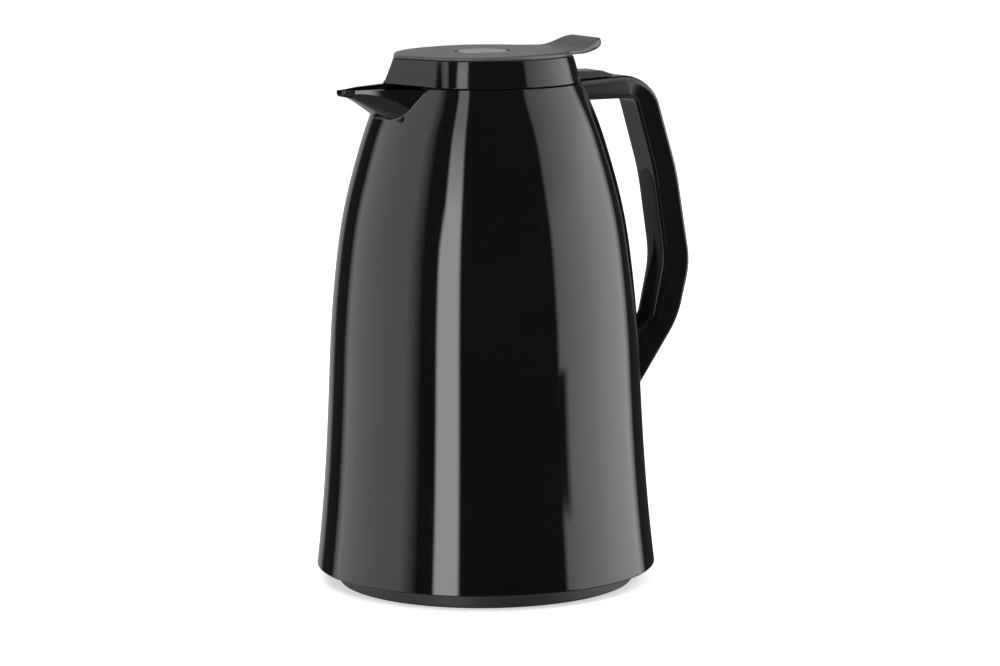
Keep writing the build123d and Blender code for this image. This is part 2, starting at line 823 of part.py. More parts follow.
def fork():
    """Two ribs under the plate, with the slots that carry the cross pin."""
    foot_z = cross_pin_z - cross_pin_radius - fork_edge
    front = cross_pin_radius + fork_edge + fork_slot_play
    rib = slab(((hinge_x, hinge_z - barrel_radius), (front, foot_z), (-front, foot_z),
                (-front, plate_low_z), (hinge_x, plate_low_z)), fork_outer)
    rib -= block(-2 * front, hinge_x + barrel_radius, -fork_inner, fork_inner,
                 foot_z - cut_margin, plate_low_z + cut_margin)
    tilt = math.degrees(math.atan2(cross_pin_drop, hinge_x))
    slot_width = 2 * (cross_pin_radius + fork_slot_gap)
    slot = extrude(SlotCenterToCenter(fork_slot_play, slot_width), 2 * fork_outer, both=True)
    return rib - Pos(0, 0, cross_pin_z) * Rot(0, -tilt, 0) * Rot(90, 0, 0) * slot


def make_lever_plate():
    plate = lid_form(0, plate_low_z, plate_high_z)
    top_edges = plate.faces().sort_by(Axis.Z)[-1].edges()
    plate = fillet(top_edges, plate_edge_round)
    plate += make_thumb_tab()
    plate += fork()
    plate += rod_y(barrel_radius, barrel_half_width, hinge_x, hinge_z)
    plate += block(hinge_x - barrel_radius, hinge_x + barrel_radius, -barrel_half_width,
                   barrel_half_width, hinge_z, plate_low_z)
    plate -= rod_y(hinge_pin_radius + running_fit, pin_half_length, hinge_x, hinge_z)
    plate -= disc(badge_recess_radius, plate_high_z - badge_recess_depth, plate_high_z + cut_margin)
    return plate


def make_badge():
    low = plate_high_z - badge_recess_depth
    badge = disc(badge_radius, low, low + badge_thickness)
    return fillet(badge.edges().filter_by(GeomType.CIRCLE).group_by(Axis.Z)[-1], badge_edge_round)


# Handle

handle_top_z = handle_back[0][1]
handle_screw_heights = (handle_foot_z, upper_screw_z)


def bent_outline(points, shift):
    """XZ outline with round bends, moved along X; the last two corners lie on the root line."""
    corners = [(x + shift, z) for x, z, bend in points]
    root = [(handle_root_x, corners[-1][1]), (handle_root_x, corners[0][1])]
    face = make_face(Polyline(*corners, *root, close=True))
    for corner, point in zip(corners, points):
        bend = point[2]
        if bend > 0:
            vertex = face.vertices().sort_by_distance((corner[0], corner[1], 0))[0]
            face = fillet(vertex, bend)
    return Plane.XZ * face


def cheeked(face, half_width):
    """Solid of an XZ face between two side planes."""
    return Pos(0, half_width, 0) * extrude(face, amount=2 * half_width, dir=(0, -1, 0))


def handle_hollow_form(shift, half_width):
    """Filled space between handle and body, moved along X by a shift."""
    points = handle_hollow + ((*handle_hollow_end, 0),)
    return cheeked(bent_outline(points, shift), half_width)


def grip_form(fit):
    """Solid of the grip inlay, along the hollow side of the handle."""
    band = handle_hollow_form(grip_depth + fit, handle_half_width)
    band -= handle_hollow_form(-grip_proud, 2 * handle_half_width)
    middle = (grip_top_z + grip_low_z) / 2
    span = grip_top_z - grip_low_z - 2 * grip_half_width
    plan = Plane(origin=(0, 0, middle), x_dir=(0, 0, 1), z_dir=(1, 0, 0))
    slot = plan * SlotCenterToCenter(span, 2 * (grip_half_width + fit))
    return band & extrude(slot, 2 * handle_back[2][0])


def button_way():
    """Channel in the handle's root for the button's stem, foot, bolt and spring."""
    reach = button_stem_start + button_stem_length
    foot_half = button_foot_half_width + slot_gap
    stem_half = button_stem_half_width + slot_gap
    way = block(0, reach + latch_spring_length, -foot_half, foot_half,
                foot_low - slot_gap, slot_ceiling)
    way += block(0, reach + button_travel + slot_gap, -stem_half, stem_half,
                 slot_ceiling - slot_gap, handle_top_z + cut_margin)
    return way


def cheek_edges(solid):
    """Edges of a handle blank that lie in its two side planes, away from its root."""
    edges = []
    for edge in solid.edges():
        middle = edge @ 0.5
        on_cheek = abs(abs(middle.Y) - handle_half_width) < running_fit
        at_root = middle.X < handle_root_x + running_fit or middle.Z < handle_back_end[1] + running_fit
        if on_cheek and not at_root:
            edges.append(edge)
    return edges


def make_handle_shell():
    points = handle_back + ((*handle_back_end, 0),)
    blank = cheeked(bent_outline(points, 0), handle_half_width)
    blank = fillet(cheek_edges(blank), handle_back_round)
    hollow = handle_hollow_form(0, 2 * handle_half_width)
    handle = blank - hollow
    rims = [edge for edge in cheek_edges(handle)
            if hollow.distance_to(Vertex(*(edge @ 0.5))) < running_fit]
    handle = fillet(rims, handle_hollow_round)
    handle -= body_solid
    handle -= button_way()
    handle -= grip_form(grip_fit)
    for height in handle_screw_heights:
        radius = outline_radius(height)
        handle -= rod_x(handle_screw_radius + running_fit, radius - shell_wall,
                        radius + handle_screw_length, height)
    return handle


def make_handle_grip():
    return grip_form(0)


def make_handle_screws():
    screws = []
    for height in handle_screw_heights:
        inner = outline_radius(height + handle_screw_head_radius) - shell_wall
        seat = math.sqrt(inner ** 2 - handle_screw_head_radius ** 2) - handle_screw_hole_gap
        end = outline_radius(height) + handle_screw_length - shell_wall
        head = rod_x(handle_screw_head_radius, seat - handle_screw_head_height, seat, height)
        screws.append(head + rod_x(handle_screw_radius, seat, end, height))
    return Compound(screws)


# Release button

slot_ceiling = handle_top_z - slot_roof
foot_high = slot_ceiling - slot_gap
foot_low = foot_high - button_foot_height
bolt_low = foot_low + (button_foot_height - bolt_thickness) / 2
bolt_high = bolt_low + bolt_thickness
keeper_low = bolt_low - bolt_gap - keeper_bar


def make_release_button():
    low = handle_top_z + button_gap
    high = low + button_height
    button = slab(((0, low), (button_end, low), (button_flat_end, high), (0, high)),
                  button_half_width)
    bend = [edge for edge in button.edges().filter_by(Axis.Y)
            if edge.center().Z > low + button_gap and edge.center().X > lid_low_radius]
    button = fillet(bend, 3 * button_round)
    button -= disc(seam_radius + seam_gap, low - cut_margin, high + cut_margin)
    stem_end = button_stem_start + button_stem_length
    button += block(button_stem_start, stem_end, -button_stem_half_width, button_stem_half_width,
                    foot_low, low + button_round)
    button += block(button_stem_start, stem_end, -button_foot_half_width, button_foot_half_width,
                    foot_low, foot_high)
    button += block(bolt_reach, button_stem_start + cut_margin, -bolt_half_width, bolt_half_width,
                    bolt_low, bolt_high)
    return button


def make_latch_spring():
    start = button_stem_start + button_stem_length + wire_sides_clearance
    length = latch_spring_length - 2 * wire_sides_clearance
    spring = coil(latch_spring_radius, latch_spring_wire, latch_spring_turns, length)
    height = (foot_low + foot_high) / 2
    return Pos(start, 0, height) * Rot(0, 90, 0) * spring


NODES = {
    "body_shell": make_body_shell,
    "base_cap": make_base_cap,
    "base_seal": make_base_seal,
    "liner_seat": make_liner_seat,
    "outer_glass": make_outer_glass,
    "inner_glass": make_inner_glass,
    "glass_pads": make_glass_pads,
    "neck_gasket": make_neck_gasket,
    "pouring_collar": make_pouring_collar,
    "collar_nut": make_collar_nut,
    "handle_shell": make_handle_shell,
    "handle_grip": make_handle_grip,
    "handle_screws": make_handle_screws,
    "latch_spring": make_latch_spring,
    "release_button": make_release_button,
    "lid_housing": make_lid_housing,
    "stopper_body": make_stopper_body,
    "stopper_seal": make_stopper_seal,
    "hinge_pin": make_hinge_pin,
    "closure_screws": make_closure_screws,
    "guide_bush": make_guide_bush,
    "valve_spring": make_valve_spring,
    "lever_plate": make_lever_plate,
    "badge": make_badge,
    "valve_stem": make_valve_stem,
    "valve_disc": make_valve_disc,
    "valve_seal": make_valve_seal,
    "cross_pin": make_cross_pin,
}

os.makedirs("parts", exist_ok=True)
for name, make in NODES.items():
    piece = make()
    print(name, "volume", round(piece.volume / 1000, 2), "cm3, solids", len(piece.solids()))
    export_step(piece, "parts/" + name + ".step")
print("valve lift", round(valve_lift, 3), "mm over", lever_range, "degrees")
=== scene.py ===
import json
import math

import bmesh
import bpy
import numpy as np
from mathutils import Matrix


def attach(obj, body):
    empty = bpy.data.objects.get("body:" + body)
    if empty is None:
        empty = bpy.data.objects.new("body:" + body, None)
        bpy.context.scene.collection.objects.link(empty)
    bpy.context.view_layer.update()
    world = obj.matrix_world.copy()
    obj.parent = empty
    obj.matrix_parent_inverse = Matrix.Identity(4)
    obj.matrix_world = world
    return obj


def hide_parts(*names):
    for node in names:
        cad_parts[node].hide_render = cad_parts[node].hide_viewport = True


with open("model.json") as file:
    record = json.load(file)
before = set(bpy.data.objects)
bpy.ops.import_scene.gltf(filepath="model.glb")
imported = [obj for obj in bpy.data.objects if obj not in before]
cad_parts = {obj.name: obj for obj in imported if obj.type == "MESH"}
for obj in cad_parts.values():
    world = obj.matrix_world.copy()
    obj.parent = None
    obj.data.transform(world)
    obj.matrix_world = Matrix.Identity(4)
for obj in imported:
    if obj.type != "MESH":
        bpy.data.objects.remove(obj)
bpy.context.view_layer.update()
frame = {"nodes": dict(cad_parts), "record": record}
nodes = frame["nodes"]

MM = 0.001
TURN = 2 * math.pi
SHARP_DEG = 32.0

# Mesh helpers


def lerp(a, b, t):
    return a + (b - a) * t


def clamp(t):
    return min(max(t, 0.0), 1.0)


def new_piece(name, verts, faces, sharp_deg=SHARP_DEG):
    """Mesh object from points in millimetres; smooth apart from edges sharper than sharp_deg."""
    mesh = bpy.data.meshes.new(name)
    mesh.from_pydata([tuple(float(c) * MM for c in v) for v in verts], [], faces)
    work = bmesh.new()
    work.from_mesh(mesh)
    bmesh.ops.remove_doubles(work, verts=work.verts, dist=2e-6)
    bmesh.ops.recalc_face_normals(work, faces=work.faces)
    work.to_mesh(mesh)
    work.free()
    obj = bpy.data.objects.new(name, mesh)
    bpy.context.scene.collection.objects.link(obj)
    smooth(obj, sharp_deg)
    return obj


def smooth(obj, sharp_deg=SHARP_DEG):
    mesh = obj.data
    mesh.polygons.foreach_set("use_smooth", [True] * len(mesh.polygons))
    mesh.set_sharp_from_angle(angle=math.radians(sharp_deg))


def loft(name, rings, closed=False, sharp_deg=SHARP_DEG):
    """Skin over rings of equally many points; closed joins the last ring to the first."""
    count = len(rings[0])
    verts = [p for ring in rings for p in ring]
    faces = []
    spans = len(rings) if closed else len(rings) - 1
    for k in range(spans):
        a, b = k * count, ((k + 1) % len(rings)) * count
        for i in range(count):
            j = (i + 1) % count
            faces.append((a + i, a + j, b + j, b + i))
    if not closed:
        faces.append(tuple(range(count)))
        faces.append(tuple(range((len(rings) - 1) * count, len(rings) * count)))
    return new_piece(name, verts, faces, sharp_deg)


def revolve(name, profile, steps=256):
    """Closed profile of (radius, height) turned about the vertical axis."""
    rings = []
    for k in range(steps):
        c, s = math.cos(TURN * k / steps), math.sin(TURN * k / steps)
        rings.append([(r * c, r * s, z) for r, z in profile])
    return loft(name, rings, closed=True)


def box_piece(name, x0, x1, y0, y1, z0, z1):
    ring = [(x0, y0), (x1, y0), (x1, y1), (x0, y1)]
    return loft(name, [[(x, y, z0) for x, y in ring], [(x, y, z1) for x, y in ring]])


def rod_y(name, radius, half, x, z, steps=48):
    ring = [(x + radius * math.cos(TURN * k / steps), z + radius * math.sin(TURN * k / steps))
            for k in range(steps)]
    return loft(name, [[(a, -half, b) for a, b in ring], [(a, half, b) for a, b in ring]])


def bake(obj):
    """Gives an object the mesh that its modifiers make."""
    bpy.context.view_layer.update()
    graph = bpy.context.evaluated_depsgraph_get()
    result = bpy.data.meshes.new_from_object(obj.evaluated_get(graph))
    obj.modifiers.clear()
    old = obj.data
    obj.data = result
    result.name = obj.name
    bpy.data.meshes.remove(old)


def combine(target, tool, operation):
    """Exact boolean of a tool piece on a target piece; the tool is deleted."""
    modifier = target.modifiers.new("cut", "BOOLEAN")
    modifier.operation = operation
    modifier.solver = "EXACT"
    modifier.object = tool
    bake(target)
    bpy.data.objects.remove(tool)
    smooth(target)
    return target


def weigh_normals(obj):
    """Keeps broad flat faces flat beside their rounded edges."""
    modifier = obj.modifiers.new("weigh", "WEIGHTED_NORMAL")
    modifier.weight = 100
    modifier.keep_sharp = True
    bake(obj)


def natural_spline(points, samples):
    """Smooth curve through 2-D points, spaced by chord length."""
    pts = np.array(points, float)
    t = np.concatenate([[0], np.cumsum(np.linalg.norm(np.diff(pts, axis=0), axis=1))])
    n = len(t)
    h = np.diff(t)
    out = []
    at = np.linspace(0, t[-1], samples)
    for axis in range(2):
        y = pts[:, axis]
        system = np.zeros((n, n))
        right = np.zeros(n)
        system[0, 0] = system[-1, -1] = 1
        for i in range(1, n - 1):
            system[i, i - 1:i + 2] = h[i - 1], 2 * (h[i - 1] + h[i]), h[i]
            right[i] = 6 * ((y[i + 1] - y[i]) / h[i] - (y[i] - y[i - 1]) / h[i - 1])
        m = np.linalg.solve(system, right)
        k = np.clip(np.searchsorted(t, at, side="right") - 1, 0, n - 2)
        a, b = (t[k + 1] - at) / h[k], (at - t[k]) / h[k]
        out.append(a * y[k] + b * y[k + 1] + ((a ** 3 - a) * m[k] + (b ** 3 - b) * m[k + 1]) * h[k] ** 2 / 6)
    return np.stack(out, 1)


def hermite(p0, p1, d0, d1, samples):
    """Curve between two 2-D points with given end directions."""
    t = np.linspace(0, 1, samples)[:, None]
    p0, p1, d0, d1 = (np.array(v, float) for v in (p0, p1, d0, d1))
    reach = np.linalg.norm(p1 - p0)
    d0, d1 = d0 / np.linalg.norm(d0) * reach, d1 / np.linalg.norm(d1) * reach
    return ((2 * t ** 3 - 3 * t ** 2 + 1) * p0 + (t ** 3 - 2 * t ** 2 + t) * d0
            + (-2 * t ** 3 + 3 * t ** 2) * p1 + (t ** 3 - t ** 2) * d1)


def bent(points, closed=True, arc_steps=10, run_steps=1):
    """2-D outline through corners (x, y, bend radius), each corner rounded by its bend."""
    pts = [np.array(p[:2], float) for p in points]
    n = len(pts)
    out = []
    for i, (point, corner) in enumerate(zip(points, pts)):
        bend = point[2] if len(point) > 2 else 0
        before, after = pts[i - 1] - corner, pts[(i + 1) % n] - corner
        if not closed and i in (0, n - 1) or bend <= 0:
            out.append(corner)
            continue
        u, v = before / np.linalg.norm(before), after / np.linalg.norm(after)
        half = math.acos(np.clip(u @ v, -1, 1)) / 2
        start, end = corner + u * bend / math.tan(half), corner + v * bend / math.tan(half)
        centre = corner + (u + v) / np.linalg.norm(u + v) * bend / math.sin(half)
        a0 = math.atan2(*(start - centre)[::-1])
        a1 = math.atan2(*(end - centre)[::-1])
        a1 += TURN * round((a0 - a1) / TURN)
        for k in range(arc_steps + 1):
            a = lerp(a0, a1, k / arc_steps)
            out.append(centre + bend * np.array([math.cos(a), math.sin(a)]))
    if run_steps > 1:
        dense = []
        for i, p in enumerate(out):
            q = out[(i + 1) % len(out)]
            dense.append(p)
            if (closed or i < len(out) - 1) and np.linalg.norm(q - p) > 3:
                steps = min(run_steps, int(np.linalg.norm(q - p) / 1.5))
                dense += [lerp(p, q, k / steps) for k in range(1, steps)]
        out = dense
    return np.array(out)


def inward(outline):
    """Unit normals of a closed 2-D outline that point into it."""
    after = np.roll(outline, -1, 0) - outline
    before = outline - np.roll(outline, 1, 0)
    after /= np.linalg.norm(after, axis=1)[:, None] + 1e-12
    before /= np.linalg.norm(before, axis=1)[:, None] + 1e-12
    tangent = after + before
    tangent /= np.linalg.norm(tangent, axis=1)[:, None] + 1e-12
    normal = np.stack([-tangent[:, 1], tangent[:, 0]], 1)
    x, y = outline.T
    area = np.sum(x * np.roll(y, -1) - np.roll(x, -1) * y)
    return normal if area > 0 else -normal


def cushion_extrude(name, outline, half, bend, steps):
    """XZ outline given thickness along Y, with its long edges rounded."""
    normal = inward(outline)
    rings = []
    for side in (-1, 1):
        levels = range(steps, -1, -1) if side < 0 else range(steps + 1)
        for k in levels:
            a = k / steps * math.pi / 2
            flat = outline + normal * (bend * (1 - math.cos(a)))
            y = side * (half - bend * (1 - math.sin(a)))
            rings.append([(x, y, z) for x, z in flat])
    return loft(name, rings)


# Sizes in millimetres, as in the CAD model

STATIONS = ((80.0, 7.5), (77.5, 31.0), (75.1, 62.0), (73.5, 92.0), (72.1, 120.0), (69.6, 148.0),
            (65.6, 175.0), (58.7, 202.0), (52.7, 220.0), (46.1, 234.7))
SEAM_Z = 234.7
WALL = 2.2
BASE_Z = 7.5
SEAM_R = 46.1
RIM_Z = 234.5
LID_LOW, LID_RIM = 235.15, 247.4
PLATE_LOW, PLATE_TOP = 247.65, 249.7
HINGE_X, HINGE_Z = 35.5, 244.3
BOLT_WAY = (-3.4, 3.4, 228.9, 232.1)
THROAT_R, THROAT_Z = 30.3, 227.5


def body_profile(inset, samples=140):
    curve = natural_spline(STATIONS, samples)
    curve[:, 0] -= inset
    return curve


def body_solid(name):
    curve = body_profile(0)
    return revolve(name, [(0, BASE_Z), *map(tuple, curve), (0, SEAM_Z)])


# Outer shell

BEAK_X, BEAK_TIP_X = (34.0, 57.9, 68.2), 73.2
BEAK_HALF, BEAK_TIP_HALF = (26.4, 12.6, 5.2), 4.2
BEAK_DEPTH, BEAK_TIP_DEPTH = (28.0, 10.4, 4.2), 3.2
BEAK_ROUND, BEAK_TIP_ROUND = (7.0, 8.0, 2.4), 1.4
BEAK_SLOPE_X, BEAK_DROP = 60.0, 0.6
BEAK_DRAFT = 0.93
BEAK_WALL = 2.2
BEAK_CLEAR = 0.25
BEAD_RADIUS, BEAD_OUT, BEAD_SUNK, BEAD_END = 0.34, 0.3, 0.12, 0.5
SHELL_FOOT = ((74.0, BASE_Z, 0), (79.92, BASE_Z, 0.8), (79.6, 12.0, 0))
SHELL_RIM = ((0.16, -0.42), (0.02, -0.14), (-0.18, -0.02), (-0.42, 0.0), (-WALL, 0.0))
SHELL_NECK = ((49.0, 223.2), (37.4, 223.2), (37.4, 220.6), (50.2, 220.6))
SHELL_SEAT = ((76.3, 19.0), (72.9, 19.0), (72.9, 13.0), (76.9, 13.0))
SHELL_SHY = 0.06


def through(xs, ys, x):
    """Parabola through three points."""
    total = 0.0
    for i in range(3):
        share = ys[i]
        for j in range(3):
            if j != i:
                share *= (x - xs[j]) / (xs[i] - xs[j])
        total += share
    return total


def beak_ring(x, half, depth, bend, grow, top_z):
    wide, low = half + grow, RIM_Z - depth - grow
    foot = wide * BEAK_DRAFT
    fall = BEAK_DROP * max(0.0, x - BEAK_SLOPE_X) / (BEAK_TIP_X - BEAK_SLOPE_X) if grow == 0 else 0.0
    edge = lerp(wide, foot, fall / (top_z - low))
    outline = bent(((-edge, top_z - fall, 0), (-foot, low, bend + grow), (foot, low, bend + grow),
                    (edge, top_z - fall, 0)), arc_steps=14)
    return [(-x, y, z) for y, z in outline]


def beak_solid(name, grow, top_z, xs=BEAK_X, halves=BEAK_HALF, depths=BEAK_DEPTH, rounds=BEAK_ROUND):
    rings = []
    for x in np.linspace(xs[0], xs[-1], 60):
        rings.append(beak_ring(x, through(xs, halves, x), through(xs, depths, x),
                               through(xs, rounds, x), grow, top_z))
    if grow == 0:
        rings += lip_rings(top_z)
    return loft(name, rings)


def lip_rings(top_z):
    """Drip lip beyond the beak's last section, with a rounded tip."""
    straight = BEAK_TIP_X - BEAK_TIP_ROUND
    stations = [(x, 0.0) for x in np.linspace(BEAK_X[-1], straight, 8)[1:]]
    stations += [(straight + BEAK_TIP_ROUND * math.sin(a), 1 - math.cos(a))
                 for a in np.linspace(0, math.pi / 2, 14)[1:]]
    rings = []
    for x, turned in stations:
        share = (x - BEAK_X[-1]) / (BEAK_TIP_X - BEAK_X[-1])
        half = lerp(BEAK_HALF[-1], BEAK_TIP_HALF, share) - BEAK_TIP_ROUND * turned
        depth = lerp(BEAK_DEPTH[-1], BEAK_TIP_DEPTH, share) - 0.35 * turned
        rings.append(beak_ring(x, half, depth, lerp(BEAK_ROUND[-1], BEAK_TIP_ROUND, share), 0, top_z))
    return rings


def body_radius(z):
    curve = body_profile(0, 400)
    return np.interp(z, curve[:, 1], curve[:, 0])


def beak_seam(grow):
    """Line where the beak leaves the shell, from one side of the rim to the other."""
    samples, spacing = 500, 0.7
    xs = np.linspace(BEAK_X[0], BEAK_X[-1], samples)
    rings = np.array([beak_ring(x, through(BEAK_X, BEAK_HALF, x), through(BEAK_X, BEAK_DEPTH, x),
                                through(BEAK_X, BEAK_ROUND, x), grow, SEAM_Z) for x in xs])
    tracks = rings.transpose(1, 0, 2)
    line, dense = [], []
    for a, b in zip(tracks[:-1], tracks[1:]):
        steps = max(1, int(np.linalg.norm((a - b)[samples // 2]) / spacing))
        dense += [lerp(a, b, k / steps) for k in range(steps)]
    for track in dense:
        out = np.hypot(track[:, 0], track[:, 1]) - body_radius(track[:, 2])
        k = int(np.argmax(out > 0))
        if k:
            line.append(lerp(track[k - 1], track[k], -out[k - 1] / (out[k] - out[k - 1])))
    return np.array(line)


def make_bead():
    """Rolled edge of the opening round the beak, sunk into the shell; its grey, lighter than the black shell,
    is a painted highlight along the joint.
    """
    line = beak_seam(BEAD_OUT)
    line = line[line[:, 2] < SEAM_Z - BEAD_END]
    along = np.gradient(line, axis=0)
    along /= np.linalg.norm(along, axis=1)[:, None]
    rings = []
    for point, ahead in zip(line, along):
        away = np.array([point[0], point[1], 0.0])
        away /= np.linalg.norm(away)
        side = np.cross(ahead, away)
        side /= np.linalg.norm(side)
        out = np.cross(side, ahead)
        centre = point - out * BEAD_SUNK
        turns = [TURN * k / 12 for k in range(12)]
        rings.append([tuple(centre + BEAD_RADIUS * (math.cos(a) * out + math.sin(a) * side)) for a in turns])
    return loft("bead", rings, sharp_deg=80)


def make_shell():
    outer = [tuple(p) for p in body_profile(0)]
    inner = [tuple(p) for p in body_profile(WALL, 90)]
    foot = bent(SHELL_FOOT, closed=False, arc_steps=6)
    profile = [(inner[0][0], BASE_Z)] + [tuple(p) for p in foot[1:-1]]
    profile += [(p[0] - SHELL_SHY, p[1]) for p in outer if BASE_Z + 1.5 < p[1] < SEAM_Z - 0.5]
    profile += [(SEAM_R + out, SEAM_Z + rise) for out, rise in SHELL_RIM]
    down = [p for p in reversed(inner) if p[1] < SEAM_Z - 1]
    profile += [p for p in down if p[1] > SHELL_NECK[0][1] + 0.8]
    profile += SHELL_NECK
    profile += [p for p in down if SHELL_SEAT[0][1] + 0.5 < p[1] < SHELL_NECK[-1][1] - 1.1]
    profile += SHELL_SEAT
    shell = revolve("shell", profile, 300)
    combine(shell, beak_solid("beak_tool", BEAK_CLEAR, SEAM_Z + 1), "DIFFERENCE")
    return combine(shell, box_piece("window_tool", 38.0, 52.7, *BOLT_WAY), "DIFFERENCE")


# Collar with the pouring beak

COLLAR = ((23.5, 225.0), (33.2, 225.0), (33.2, 214.0), (37.2, 214.0), (37.2, 223.2), (43.7, 223.2),
          (43.7, 234.1), (43.58, 234.38), (43.3, 234.5), (38.3, 234.5), (37.9, 234.38), (37.5, 234.1),
          (30.5, 228.7), (THROAT_R, 228.3), (THROAT_R, THROAT_Z), (23.5, THROAT_Z))
COLLAR_BORE = 43.4
CHANNEL = {"xs": (34.0, 57.9, 74.2), "halves": (26.4, 12.6, 4.2), "depths": (7.8, 7.8, 4.2),
           "rounds": (4.2, 4.2, 2.7)}
LATCH_POCKET = (39.5, 46.1, -6.1, 6.1, 226.5, 236.0)


def make_collar():
    collar = revolve("collar", COLLAR, 240)
    beak = beak_solid("beak", 0, RIM_Z)
    bore = [(0, 190.0), (COLLAR_BORE, 190.0), (COLLAR_BORE, 240.0), (0, 240.0)]
    combine(beak, revolve("bore_tool", bore, 240), "DIFFERENCE")
    combine(collar, beak, "UNION")
    channel = beak_solid("channel_tool", -BEAK_WALL, RIM_Z + 1, **CHANNEL)
    plug = revolve("plug_tool", [(0, THROAT_Z), (THROAT_R, THROAT_Z), (THROAT_R, 240.0), (0, 240.0)], 240)
    combine(channel, plug, "DIFFERENCE")
    combine(collar, channel, "DIFFERENCE")
    return combine(collar, box_piece("pocket_tool", *LATCH_POCKET), "DIFFERENCE")


# Lid housing

LID_LOW_FORM = (45.6, 51.4, 35.0)
LID_TOP_FORM = (42.4, 45.9, 33.4)
NOSE_ROUND, CORNER_ROUND = 2.5, 4.0
PROW_START, PROW_LENGTH, PROW_RISE = 35.0, 16.4, 1.1
REAR_FALL_DEG = 10.6
LID_EDGE, LID_RIM_EDGE = 0.4, 0.3
LID_FLOOR = ((2.6, 0.0), (2.15, 0.15), (2.0, 0.6))
DECK_WELL = (-8.8, 20.0, -10.0, 10.0, 233.0, 240.0)
EAR_NEAR, EAR_FAR, EAR_R, EAR_LOW = 10.0, 13.4, 2.6, 237.0
KEEPER, KEEPER_REACH = (40.0, 43.0, -5.6, 5.6, 227.0, 237.0), (39.0, 44.0)
GROOVE, GROOVE_BEFORE, GROOVE_AFTER = 0.95, 1.6, 3.2


def lid_outline(z, inset, groove=0.0):
    """Round outline with the prow's two flat faces, at a height and drawn in by an inset."""
    share = (z - LID_LOW) / (LID_RIM - LID_LOW)
    radius, nose, corner = (lerp(a, b, share) for a, b in zip(LID_LOW_FORM, LID_TOP_FORM))
    angle = math.acos(corner / radius)
    round_radius = radius - inset
    nose_x = nose - inset * nose / corner
    front, side = math.cos(angle) * round_radius, math.sin(angle) * round_radius
    along = np.array([-front + nose_x, side])
    along /= np.linalg.norm(along)
    normal = np.array([-along[1], along[0]])
    distance = normal @ np.array([-nose_x, 0.0])
    nose_round = max(NOSE_ROUND - inset, NOSE_ROUND / 4)
    corner_round = max(CORNER_ROUND - inset, CORNER_ROUND / 4)
    reach = distance - corner_round
    centre = reach * normal + math.sqrt((round_radius - corner_round) ** 2 - reach ** 2) * along
    a_line = math.atan2(normal[1], normal[0])
    a_arc = math.atan2(centre[1], centre[0])
    nose_centre = np.array([(distance - nose_round) / normal[0], 0.0])
    half = []
    for k in range(150):
        a = a_arc * (1 - (1 - k / 150) ** 1.6)
        half.append((round_radius * math.cos(a), round_radius * math.sin(a)))
    for k in range(13):
        a = lerp(a_arc, a_line, k / 12)
        half.append(tuple(centre + corner_round * np.array([math.cos(a), math.sin(a)])))
    start, end = np.array(half[-1]), nose_centre + nose_round * normal
    for k in range(1, 50):
        half.append(tuple(lerp(start, end, (k / 50) ** 1.5)))
    for k in range(9):
        a = lerp(a_line, math.pi, k / 8)
        half.append(tuple(nose_centre + nose_round * np.array([math.cos(a), math.sin(a)])))
    half = np.array(half)
    if groove:
        ahead = np.gradient(half, axis=0)
        ahead /= np.linalg.norm(ahead, axis=1)[:, None]
        run = np.concatenate([[0], np.cumsum(np.linalg.norm(np.diff(half, axis=0), axis=1))])
        beyond = run - run[156]
        depth = groove * np.exp(-(beyond / np.where(beyond < 0, GROOVE_BEFORE, GROOVE_AFTER)) ** 2)
        half = half + np.stack([-ahead[:, 1], ahead[:, 0]], 1) * depth[:, None]
    return np.concatenate([half, (half * (1, -1))[-2:0:-1]])


def prow_low(x, z):
    """Lower edge of the prow rises over the beak."""
    return max(z, z - (x + PROW_START) * PROW_RISE / PROW_LENGTH)


def rear_top(x, z):
    """Rear rim drops away, so that the tab can be pressed down."""
    return min(z, z - (x - HINGE_X) * math.tan(math.radians(REAR_FALL_DEG)))


